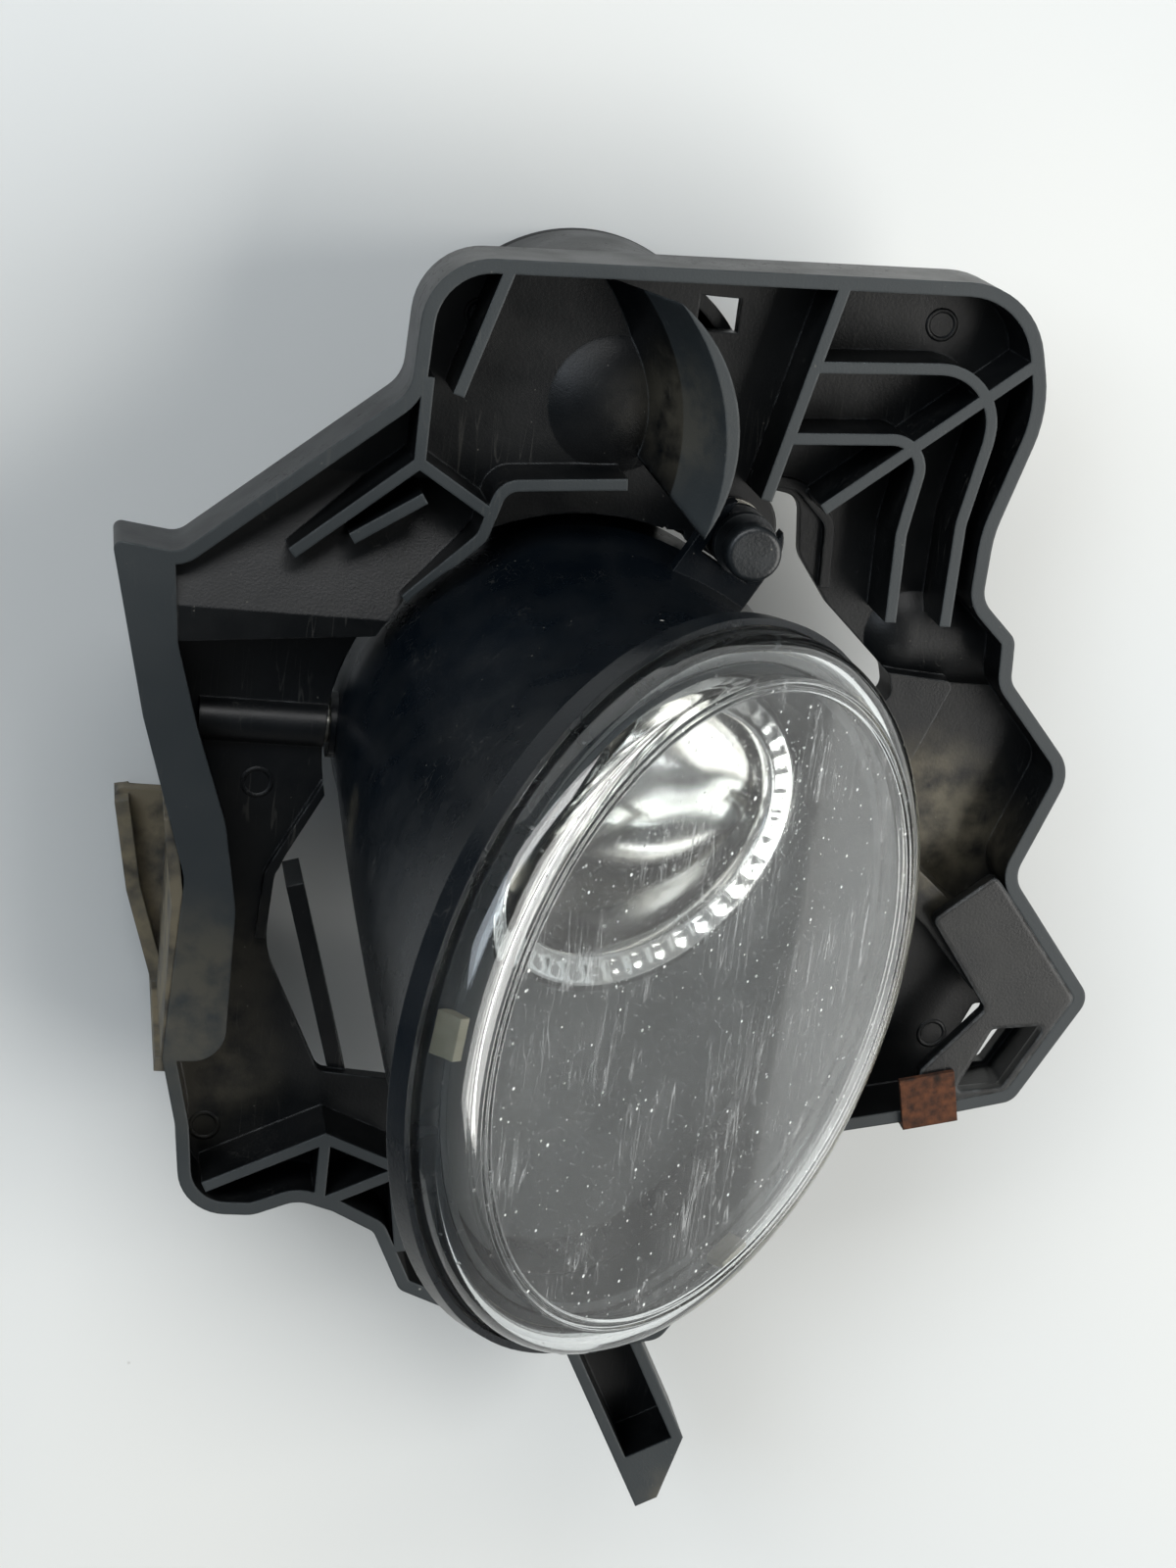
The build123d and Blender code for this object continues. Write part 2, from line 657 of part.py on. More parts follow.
def reflector():
    """Bright oval bowl with a flat flange and a raised band, drawn down to the bulb opening."""
    place = on_lens(*reflector_offset, -reflector_depth)
    inset = reflector_flange + reflector_band

    def oval(inside):
        return Ellipse(reflector_length - inside, reflector_height - inside)

    flange = extrude(oval(0.0) - oval(inset), reflector_flange)
    band = extrude(oval(reflector_flange) - oval(inset), reflector_flange + 1.2)
    dished = Pos(0, 0, reflector_flange + 0.4) * extrude(
        oval(reflector_flange + 0.8) - oval(inset - 0.8), 2.0)

    def sections(shrink):
        mouth = place * oval(inset - reflector_wall + shrink)
        waist = Pos(barrel_x + 1, barrel_y + 0.5, 33) * Rot(0, lens_tilt * 0.35, 0) * Ellipse(
            21 - shrink, 16.5 - shrink)
        neck = Pos(barrel_x, barrel_y, neck_top + 3) * Circle(reflector_neck - shrink)
        return [neck, waist, mouth]

    bowl = loft(sections(0.0)) - loft(sections(reflector_wall))
    neck = ring(barrel_centre, reflector_neck, reflector_neck - reflector_wall,
                neck_top, neck_top + 3)
    return place * (flange + band - dished) + bowl + neck


def vent_cap():
    """Rubber breather cap on the rear wall of the barrel."""
    place = (barrel_x - vent_from_axis[0], barrel_y - vent_from_axis[1])
    cap = disc(place, vent_radius, barrel_floor - vent_height, barrel_floor)
    return fillet(cap.edges().group_by(Axis.Z)[0], vent_radius * 0.3)


# ---- bulb -------------------------------------------------------------------------------------
def bulb_base():
    """Plastic base of the bulb with its connector shroud."""
    flange_bottom = base_bottom + plug_height - 2
    solid = disc(barrel_centre, bulb_bore + 1.5, flange_bottom, neck_bottom - bulb_fit)
    solid += disc(barrel_centre, 9.9, flange_bottom, lug_bottom)
    shroud = Pos(barrel_x, barrel_y - plug_reach / 2 + 4, base_bottom + plug_height / 2)
    solid += shroud * Box(plug_width, plug_reach, plug_height)
    cavity = Pos(barrel_x, barrel_y - plug_reach + 8, base_bottom + plug_height / 2)
    return solid - cavity * Box(plug_width - 2 * plug_wall, 16, plug_height - 2 * plug_wall)


def bulb_terminals():
    """Two flat terminal blades in the connector shroud."""
    blades = []
    for side in (-1, 1):
        place = Pos(barrel_x + side * 3.2, barrel_y - plug_reach + 12, base_bottom + plug_height / 2)
        blades.append(place * Box(2.8, 8.0, 0.8))
    return Compound(blades)


def bulb_seal():
    """Sealing ring of the bulb in the neck of the housing."""
    return Pos(barrel_x, barrel_y, neck_bottom + 1.2) * Torus(10.85, 0.95)


def bulb_collar():
    """Collar that holds the glass, with three bayonet lugs."""
    top = lug_bottom + lug_height
    solid = disc(barrel_centre, collar_radius, lug_bottom, top)
    reach = bulb_bore + lug_reach - bulb_fit
    for step in range(3):
        lug = Pos(reach / 2, 0) * Rectangle(reach, lug_width)
        solid += Pos(barrel_x, barrel_y, lug_bottom) * Rot(0, 0, 120 * step) * extrude(
            lug & Circle(reach), lug_height)
    return solid - disc(barrel_centre, glass_radius, lug_bottom - 1, top + 1)


def bulb_glass():
    """Halogen glass: a thin tube closed by a round top."""
    top = lug_bottom + glass_length
    solid = disc(barrel_centre, glass_radius, lug_bottom, top)
    solid = fillet(solid.edges().group_by(Axis.Z)[-1], 4.0)
    inner = disc(barrel_centre, glass_radius - 0.9, lug_bottom + 5, top - 0.9)
    return solid - fillet(inner.edges().group_by(Axis.Z)[-1], 3.2)


def filament():
    """Filament coil between its two posts."""
    return Pos(barrel_x, barrel_y, lug_bottom + 16) * Rot(90, 0, 0) * Rot(0, 90, 0) * Cylinder(0.6, 4.4)


def filament_posts():
    """Wires that stand in the glass and carry the filament."""
    posts = []
    for side in (-1, 1):
        place = (barrel_x + side * 2.5, barrel_y)
        posts.append(disc(place, 0.3, lug_bottom + 5, lug_bottom + 16.6))
    return Compound(posts)


carrier = moulding()

subparts = {
    "carrier_bracket": carrier_bracket, "fixing_boss": fixing_boss, "window_tab": window_tab,
    "tab_leg": tab_leg, "left_guide": left_guide, "lower_finger": lower_finger,
    "fixing_insert": fixing_insert, "rear_pad": rear_pad,
    "retaining_clip": retaining_clip, "pivot_bushes": pivot_bushes,
    "adjuster_screw": adjuster_screw, "adjuster_wheel": adjuster_wheel,
    "adjuster_clip": adjuster_clip, "adjuster_cap": adjuster_cap, "adjuster_nut": adjuster_nut,
    "lamp_housing": lamp_housing, "pivot_pins": pivot_pins, "fog_lens": fog_lens,
    "lens_seal": lens_seal, "lens_locators": lens_locators, "inner_bezel": inner_bezel,
    "reflector": reflector, "vent_cap": vent_cap, "bulb_base": bulb_base,
    "bulb_terminals": bulb_terminals, "bulb_seal": bulb_seal, "bulb_collar": bulb_collar,
    "bulb_glass": bulb_glass, "filament": filament, "filament_posts": filament_posts,
}

os.makedirs("parts", exist_ok=True)
for name, build in subparts.items():
    export_step(build(), f"parts/{name}.step")
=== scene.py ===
"""Looks of a round fog light in its moulded carrier bracket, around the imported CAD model.

Lengths are in metres, and in millimetres where a name ends in _mm. The frame is the CAD's:
origin on the rear plane at the upper fixing bore, +Z to the front and +Y to the upper edge.
"""

from __future__ import annotations

import json
import logging
import math
from dataclasses import dataclass
from enum import Enum
from typing import Any, Mapping, Sequence

import bmesh
import bpy
import numpy as np
from mathutils import Matrix, Vector

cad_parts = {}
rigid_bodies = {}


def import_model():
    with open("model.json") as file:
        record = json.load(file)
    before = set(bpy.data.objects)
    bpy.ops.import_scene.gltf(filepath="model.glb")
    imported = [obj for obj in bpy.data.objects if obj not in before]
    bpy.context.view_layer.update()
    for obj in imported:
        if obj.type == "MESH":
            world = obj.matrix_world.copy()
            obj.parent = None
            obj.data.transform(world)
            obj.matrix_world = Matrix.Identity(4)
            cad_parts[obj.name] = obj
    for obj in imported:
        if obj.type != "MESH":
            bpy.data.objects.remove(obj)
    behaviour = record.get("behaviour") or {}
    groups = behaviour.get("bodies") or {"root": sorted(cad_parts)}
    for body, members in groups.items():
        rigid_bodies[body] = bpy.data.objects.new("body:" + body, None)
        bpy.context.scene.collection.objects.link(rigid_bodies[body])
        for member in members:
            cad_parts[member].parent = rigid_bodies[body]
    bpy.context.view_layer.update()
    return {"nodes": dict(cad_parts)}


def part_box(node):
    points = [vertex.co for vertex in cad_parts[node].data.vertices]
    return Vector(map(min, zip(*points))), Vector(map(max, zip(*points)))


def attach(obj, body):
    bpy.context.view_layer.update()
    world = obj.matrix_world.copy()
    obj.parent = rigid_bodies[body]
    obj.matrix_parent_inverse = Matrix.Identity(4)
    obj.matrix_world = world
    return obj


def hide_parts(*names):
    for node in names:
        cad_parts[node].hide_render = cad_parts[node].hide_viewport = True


for leftover in list(bpy.data.objects):
    bpy.data.objects.remove(leftover)

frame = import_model()

MM = 0.001
log = logging.getLogger("fog_light")

Socket = bpy.types.NodeSocket
Tree = bpy.types.NodeTree


class Body(str, Enum):
    """The moving groups that new pieces ride on."""

    BRACKET = "bracket"
    LAMP = "lamp"
    SCREW = "adjuster_screw"
    BULB = "bulb"


class Closing(Enum):
    """Which edges of a grid of points are joined to the opposite edge."""

    COLUMNS = "columns"
    BOTH = "both"
    NEITHER = "neither"


# ---- helpers ------------------------------------------------------------------------------------
def linear(colour: str) -> tuple[float, float, float, float]:
    """Turn an sRGB hex colour such as "#20262b" into linear RGBA.

    Args:
        colour: The colour as a hash sign and six hex digits.

    Returns:
        Red, green, blue and an alpha of 1.
    """
    coded = np.array([int(colour[i:i + 2], 16) for i in (1, 3, 5)]) / 255.0
    plain = np.where(coded <= 0.04045, coded / 12.92, ((coded + 0.055) / 1.055) ** 2.4)
    return (float(plain[0]), float(plain[1]), float(plain[2]), 1.0)


def add_node(tree: Tree, kind: str, settings: Mapping[Any, Any] | None = None,
             links: Mapping[Any, Socket] | None = None) -> bpy.types.Node:
    """Add one node with its settings and links.

    Args:
        tree: The node tree to add to.
        kind: Blender's name of the node type.
        settings: Values of the node's properties, or of its inputs by name or number.
        links: Sockets to link to the node's inputs, by name or number.

    Returns:
        The new node.
    """
    node = tree.nodes.new(kind)
    for key, value in (settings or {}).items():
        if isinstance(key, str) and hasattr(node, key):
            setattr(node, key, value)
        else:
            node.inputs[key].default_value = value
    for key, socket in (links or {}).items():
        tree.links.new(socket, node.inputs[key])
    return node


def mesh_piece(name: str, points: np.ndarray, faces: np.ndarray) -> bpy.types.Object:
    """Make an object from points and faces, with doubles merged and faces turned outwards.

    Args:
        name: The piece's name.
        points: Array of shape (n, 3), in metres.
        faces: Array of shape (m, 4) or (m, 3) of point numbers.

    Returns:
        The linked object, at the origin.
    """
    mesh = bpy.data.meshes.new(name)
    mesh.from_pydata(points.reshape(-1, 3).tolist(), [], faces.tolist())
    shape = bmesh.new()
    shape.from_mesh(mesh)
    bmesh.ops.remove_doubles(shape, verts=shape.verts, dist=1e-7)
    bmesh.ops.dissolve_degenerate(shape, edges=shape.edges, dist=1e-8)
    bmesh.ops.recalc_face_normals(shape, faces=shape.faces)
    shape.to_mesh(mesh)
    shape.free()
    mesh.shade_smooth()
    piece = bpy.data.objects.new(name, mesh)
    bpy.context.scene.collection.objects.link(piece)
    return piece


def grid_faces(rows: int, columns: int, closing: Closing) -> np.ndarray:
    """Number the quads of a grid: each joins a point, its right neighbour and the two below.

    Args:
        rows: Rows of points.
        columns: Points in a row.
        closing: Which directions wrap round.

    Returns:
        Array of shape (quads, 4).
    """
    row_count = rows if closing is Closing.BOTH else rows - 1
    column_count = columns - 1 if closing is Closing.NEITHER else columns
    i, j = np.meshgrid(np.arange(row_count), np.arange(column_count), indexing="ij")
    below, right = (i + 1) % rows, (j + 1) % columns
    quads = [i * columns + j, i * columns + right, below * columns + right, below * columns + j]
    return np.stack(quads, axis=-1).reshape(-1, 4)


def turned(profile: np.ndarray, steps: int) -> np.ndarray:
    """Carry a profile of (radius, height) once round the Z axis.

    Point (i, j) is (r_i cos a_j, r_i sin a_j, h_i), with the angle a_j in equal steps.

    Args:
        profile: Array of shape (rows, 2).
        steps: Number of steps round the axis.

    Returns:
        Array of shape (rows, steps, 3).
    """
    angle = np.linspace(0.0, 2 * np.pi, steps, endpoint=False)[None, :]
    radius, height = profile[:, :1], profile[:, 1:]
    return np.stack([radius * np.cos(angle), radius * np.sin(angle),
                     height + 0 * angle], axis=-1)


def arc(centre: tuple[float, float], radius: float, start: float, end: float,
        count: int) -> np.ndarray:
    """Points of a circular arc in a profile, from a start to an end angle in degrees.

    Args:
        centre: The arc's centre as (radius, height).
        radius: The arc's radius.
        start: First angle, from the outward direction.
        end: Last angle.
        count: Number of points.

    Returns:
        Array of shape (count, 2).
    """
    angle = np.radians(np.linspace(start, end, count))
    return np.stack([centre[0] + radius * np.cos(angle), centre[1] + radius * np.sin(angle)], 1)


def tube(path: np.ndarray, radius: np.ndarray, sides: int) -> np.ndarray:
    """Carry a circle along a path: each ring stands square to the path's direction.

    Ring i is path_i + radius_i (cos a * n_i + sin a * b_i), where n_i and b_i are square to
    the path's slope there and to each other.

    Args:
        path: Array of shape (count, 3).
        radius: Radius at each point of the path.
        sides: Points in each ring.

    Returns:
        Array of shape (count, sides, 3).
    """
    slope = np.gradient(path, axis=0)
    slope /= np.linalg.norm(slope, axis=1, keepdims=True)
    aside = np.cross(slope, np.array([0.31, 0.22, 0.93]))
    aside /= np.linalg.norm(aside, axis=1, keepdims=True)
    square = np.cross(slope, aside)
    angle = np.linspace(0, 2 * np.pi, sides, endpoint=False)
    return (path[:, None] + radius[:, None, None] * (
        np.cos(angle)[None, :, None] * aside[:, None] + np.sin(angle)[None, :, None] * square[:, None]))


def settle(piece: bpy.types.Object, body: Body, material: bpy.types.Material,
           replaced: Sequence[str] = ()) -> bpy.types.Object:
    """Give a new piece its material and slot, and let it ride on its body.

    Args:
        piece: The new piece.
        body: The body that carries it.
        material: Its material.
        replaced: CAD nodes that it stands for.

    Returns:
        The same piece.
    """
    piece.data.materials.append(material)
    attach(piece, body.value)
    if replaced:
        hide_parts(*replaced)
    log.info("piece %s rides on %s, %d faces", piece.name, body.value, len(piece.data.polygons))
    return piece


def dress(nodes: Sequence[str], material: bpy.types.Material) -> None:
    """Give CAD nodes a material.

    Args:
        nodes: Names of the nodes.
        material: The material for all of them.
    """
    for name in nodes:
        for holder in frame["nodes"][name].material_slots:
            holder.material = material
        log.info("node %s wears %s", name, material.name)


# ---- patterns that the materials share ----------------------------------------------------------
def cloud(tree: Tree, place: Socket, size_mm: float, low: float, high: float,
          detail: float = 3.0, stretch: tuple[float, float, float] = (1.0, 1.0, 1.0),
          turn: tuple[float, float, float] = (0.0, 0.0, 0.0)) -> Socket:
    """A soft cloudy mask: noise of a given size, cut between two levels.

    Args:
        tree: The material's tree.
        place: Coordinates in metres.
        size_mm: Size of the clouds.
        low: Noise level where the mask is 0.
        high: Noise level where the mask is 1.
        detail: Octaves of finer noise.
        stretch: Scale along each axis after turning, where a small one makes long streaks.
        turn: Angles that the pattern is turned by.

    Returns:
        The mask, from 0 to 1.
    """
    spot = add_node(tree, "ShaderNodeMapping", {"Scale": stretch, "Rotation": turn},
                    {"Vector": place})
    noise = add_node(tree, "ShaderNodeTexNoise", {"Scale": 1.0 / (size_mm * MM), "Detail": detail},
                     {"Vector": spot.outputs["Vector"]})
    cut = add_node(tree, "ShaderNodeMapRange", {"From Min": low, "From Max": high},
                   {"Value": noise.outputs["Fac"]})
    return cut.outputs["Result"]


def specks(tree: Tree, place: Socket, spacing_mm: float, radius_mm: float,
           share: float) -> Socket:
    """A mask of small round specks, one at most in each cell, of mixed sizes.

    A cell's random value above 1 - share gives its speck a radius up to radius_mm.

    Args:
        tree: The material's tree.
        place: Coordinates in metres.
        spacing_mm: Size of a cell.
        radius_mm: Radius of the largest specks.
        share: Share of the cells that hold a speck.

    Returns:
        The mask, from 0 to 1.
    """
    cells = add_node(tree, "ShaderNodeTexVoronoi", {"Scale": 1.0 / (spacing_mm * MM)},
                     {"Vector": place})
    chance = add_node(tree, "ShaderNodeSeparateColor", links={"Color": cells.outputs["Color"]})
    reach = add_node(tree, "ShaderNodeMapRange",
                     {"From Min": 1.0 - share, "From Max": 1.0,
                      "To Max": radius_mm / spacing_mm},
                     {"Value": chance.outputs["Red"]})
    inside = add_node(tree, "ShaderNodeMath", {"operation": "SUBTRACT"},
                      {0: reach.outputs["Result"], 1: cells.outputs["Distance"]})
    sharp = add_node(tree, "ShaderNodeMapRange",
                     {"From Min": 0.0, "From Max": 0.35 * radius_mm / spacing_mm},
                     {"Value": inside.outputs[0]})
    return sharp.outputs["Result"]


def scratches(tree: Tree, place: Socket, spacing_mm: float, width: float,
              turn: tuple[float, float, float]) -> Socket:
    """A mask of hairline scratches: the level line of noise that is drawn out one way.

    Args:
        tree: The material's tree.
        place: Coordinates in metres.
        spacing_mm: Distance between scratches.
        width: Half width of the level band, where 0.01 is a hair.
        turn: Direction of the scratches.

    Returns:
        The mask, from 0 to 1, broken up by a coarser cloud.
    """
    spot = add_node(tree, "ShaderNodeMapping", {"Scale": (1.0, 0.06, 1.0), "Rotation": turn},
                    {"Vector": place})
    noise = add_node(tree, "ShaderNodeTexNoise",
                     {"Scale": 1.0 / (spacing_mm * MM), "Detail": 1.0, "Distortion": 0.3},
                     {"Vector": spot.outputs["Vector"]})
    level = add_node(tree, "ShaderNodeMath", {"operation": "SUBTRACT", 1: 0.5},
                     {0: noise.outputs["Fac"]})
    distance = add_node(tree, "ShaderNodeMath", {"operation": "ABSOLUTE"}, {0: level.outputs[0]})
    line = add_node(tree, "ShaderNodeMapRange", {"From Min": width, "From Max": width * 0.3},
                    {"Value": distance.outputs[0]})
    patch = cloud(tree, place, 9.0, 0.5, 0.62)
    broken = add_node(tree, "ShaderNodeMath", {"operation": "MULTIPLY"},
                      {0: line.outputs["Result"], 1: patch})
    return broken.outputs[0]


def worn_edge(tree: Tree, place: Socket, radius_mm: float) -> tuple[Socket, Socket]:
    """Round the sharp edges for shading and find them: the rounded normal leaves the true one.

    Args:
        tree: The material's tree.
        place: Coordinates in metres, which break up the wear.
        radius_mm: Radius of the rounded edge.

    Returns:
        The rounded normal, and a mask of the edges from 0 to 1.
    """
    rounded = add_node(tree, "ShaderNodeBevel", {"samples": 4, "Radius": radius_mm * MM})
    true = add_node(tree, "ShaderNodeNewGeometry")
    match = add_node(tree, "ShaderNodeVectorMath", {"operation": "DOT_PRODUCT"},
                     {0: rounded.outputs["Normal"], 1: true.outputs["Normal"]})
    edge = add_node(tree, "ShaderNodeMapRange", {"From Min": 0.985, "From Max": 0.80},
                    {"Value": match.outputs["Value"]})
    patch = cloud(tree, place, 2.2, 0.42, 0.62)
    mask = add_node(tree, "ShaderNodeMath", {"operation": "MULTIPLY"},
                    {0: edge.outputs["Result"], 1: patch})
    return rounded.outputs["Normal"], mask.outputs[0]


def near(tree: Tree, place: Socket, centre_mm: tuple[float, float, float],
         radius_mm: float) -> Socket:
    """A mask that is 1 at a place on the object and fades to 0 at a radius round it.

    Args:
        tree: The material's tree.
        place: Coordinates in metres.
        centre_mm: The place.
        radius_mm: The radius.

    Returns:
        The mask, from 0 to 1.
    """
    centre = tuple(value * MM for value in centre_mm)
    gap = add_node(tree, "ShaderNodeVectorMath", {"operation": "DISTANCE", 1: centre}, {0: place})
    fade = add_node(tree, "ShaderNodeMapRange",
                    {"interpolation_type": "SMOOTHSTEP", "From Min": radius_mm * MM,
                     "From Max": 0.25 * radius_mm * MM},
                    {"Value": gap.outputs["Value"]})
    return fade.outputs["Result"]


def tinted(tree: Tree, under: Socket | str, over: str, mask: Socket, amount: float) -> Socket:
    """Lay one colour over another where a mask allows it.

    Args:
        tree: The material's tree.
        under: The colour below, as a socket or a hex colour.
        over: The colour on top.
        mask: Where it lies.
        amount: How strongly it covers at most.

    Returns:
        The mixed colour.
    """
    cover = add_node(tree, "ShaderNodeMath", {"operation": "MULTIPLY", 1: amount}, {0: mask})
    mix = add_node(tree, "ShaderNodeMix", {"data_type": "RGBA", 7: linear(over)},
                   {0: cover.outputs[0]})
    if isinstance(under, str):
        mix.inputs[6].default_value = linear(under)
    else:
        tree.links.new(under, mix.inputs[6])
    return mix.outputs[2]


def roughened(tree: Tree, start: float, changes: Sequence[tuple[Socket, float]]) -> Socket:
    """Add masks times amounts to a roughness.

    Args:
        tree: The material's tree.
        start: Roughness of the clean surface.
        changes: Pairs of a mask and how much it adds.

    Returns:
        The roughness.
    """
    total: Socket | None = None
    for mask, amount in changes:
        step = add_node(tree, "ShaderNodeMath",
                        {"operation": "MULTIPLY_ADD", 1: amount, 2: start, "use_clamp": True},
                        {0: mask})
        if total is not None:
            tree.links.new(total, step.inputs[2])
        total = step.outputs[0]
    assert total is not None
    return total


def embossed(tree: Tree, height: Socket, depth_mm: float, strength: float,
             normal: Socket | None = None) -> Socket:
    """Turn a height pattern into a normal.

    Args:
        tree: The material's tree.
        height: The pattern, from 0 to 1.
        depth_mm: Its depth.
        strength: Share of it that shows.
        normal: A normal to build on.

    Returns:
        The bumped normal.
    """
    bump = add_node(tree, "ShaderNodeBump", {"Distance": depth_mm * MM, "Strength": strength},
                    {"Height": height})
    if normal is not None:
        tree.links.new(normal, bump.inputs["Normal"])
    return bump.outputs["Normal"]


def new_material(name: str) -> tuple[bpy.types.Material, Tree, bpy.types.Node, Socket]:
    """Start a material with one Principled shader and the object's own coordinates.

    Args:
        name: The material's name.

    Returns:
        The material, its tree, its shader and the coordinates.
    """
    material = bpy.data.materials.new(name)
    material.use_nodes = True
    tree = material.node_tree
    tree.nodes.clear()
    shader = add_node(tree, "ShaderNodeBsdfPrincipled")
    add_node(tree, "ShaderNodeOutputMaterial", links={"Surface": shader.outputs["BSDF"]})
    place = add_node(tree, "ShaderNodeTexCoord").outputs["Object"]
    return material, tree, shader, place


# ---- finishes -----------------------------------------------------------------------------------
@dataclass(frozen=True)
class Soiling:
    """A patch of dried dirt on a moulding: where it is, how far it reaches and its strength."""

    centre_mm: tuple[float, float, float]
    radius_mm: float
    amount: float


@dataclass(frozen=True)
class MouldedPolypropylene:
    """Injection-moulded polypropylene.

    Its satin skin gives a soft grey sheen on faces turned to the light, with pale scuffs and
    whitened edges worn by rubbing, fine dust, white specks and patches of dried dirt.
    Faces above a given height can be painted paler. This stands partly for rubbing and partly
    for a painted sheen: the light the frontmost faces catch while the recesses stay dark.
    """

    name: str
    base: str
    faded: str
    dust: str = "#77756d"
    dirt: str = "#6b6555"
    worn: str = "#6d7274"
    crumb: str = "#c9c7bf"
    roughness: float = 0.42
    grain_mm: float = 0.35
    edge_mm: float = 0.35
    edge_amount: float = 0.35
    film: float = 0.10
    speck_amount: float = 0.6
    scratch_amount: float = 0.22
    # Colour and height for the paler frontmost faces (off by default): partly rubbing, partly painted
    # sheen.
    rubbed_and_sheen: str = "#2b2f30"
    rubbed_and_sheen_from_mm: float = 1000.0
    gloss: float = 0.5
    soiling: tuple[Soiling, ...] = ()

    def material(self) -> bpy.types.Material:
        """Build the material."""
        made, tree, shader, place = new_material(self.name)
        patches = cloud(tree, place, 26.0, 0.40, 0.68, 4.0)
        film = cloud(tree, place, 7.0, 0.38, 0.72, 6.0)
        grit = specks(tree, place, 1.1, 0.16, 0.22)
        crumbs = specks(tree, place, 5.5, 0.50, 0.20)
        hair = scratches(tree, place, 1.5, 0.012, (0.4, 0.2, 0.9))
        normal, edge = worn_edge(tree, place, self.edge_mm)
        parts = add_node(tree, "ShaderNodeSeparateXYZ", links={"Vector": place})
        # Mask of the faces above the given height. It makes the frontmost faces paler, partly as
        # rubbing and partly as a painted sheen, so the recesses read as painted shade.
        front = add_node(tree, "ShaderNodeMapRange",
                         {"From Min": (self.rubbed_and_sheen_from_mm - 0.3) * MM,
                          "From Max": self.rubbed_and_sheen_from_mm * MM}, {"Value": parts.outputs["Z"]})
        colour = tinted(tree, self.base, self.faded, patches, 0.8)
        # Painted sheen and rubbing on the frontmost faces.
        colour = tinted(tree, colour, self.rubbed_and_sheen, front.outputs["Result"], 0.9)
        colour = tinted(tree, colour, self.dust, film, self.film)
        colour = tinted(tree, colour, self.dust, hair, self.scratch_amount)
        dirty: Socket | None = None
        for patch in self.soiling:
            mask = near(tree, place, patch.centre_mm, patch.radius_mm)
            ragged = cloud(tree, place, 4.0, 0.30, 0.60, 6.0)
            there = add_node(tree, "ShaderNodeMath", {"operation": "MULTIPLY"},
                             {0: mask, 1: ragged})
            colour = tinted(tree, colour, self.dirt, there.outputs[0], patch.amount)
            dirty = there.outputs[0]
        colour = tinted(tree, colour, self.worn, edge, self.edge_amount)
        colour = tinted(tree, colour, self.dust, grit, self.speck_amount * 0.6)
        colour = tinted(tree, colour, self.crumb, crumbs, self.speck_amount)
        changes = [(film, 0.10), (hair, 0.25), (grit, 0.3), (crumbs, 0.3), (patches, 0.06),
                   (front.outputs["Result"], 0.15)]
        if dirty is not None:
            changes.append((dirty, 0.3))
        grain = cloud(tree, place, self.grain_mm, 0.35, 0.65, 2.0)
        waves = cloud(tree, place, 11.0, 0.2, 0.8, 2.0)
        normal = embossed(tree, grain, 0.02, 0.30, normal)
        normal = embossed(tree, waves, 0.25, 0.22, normal)
        tree.links.new(colour, shader.inputs["Base Color"])
        tree.links.new(roughened(tree, self.roughness, changes), shader.inputs["Roughness"])
        tree.links.new(normal, shader.inputs["Normal"])
        shader.inputs["IOR"].default_value = 1.49
        shader.inputs["Specular IOR Level"].default_value = self.gloss
        return made


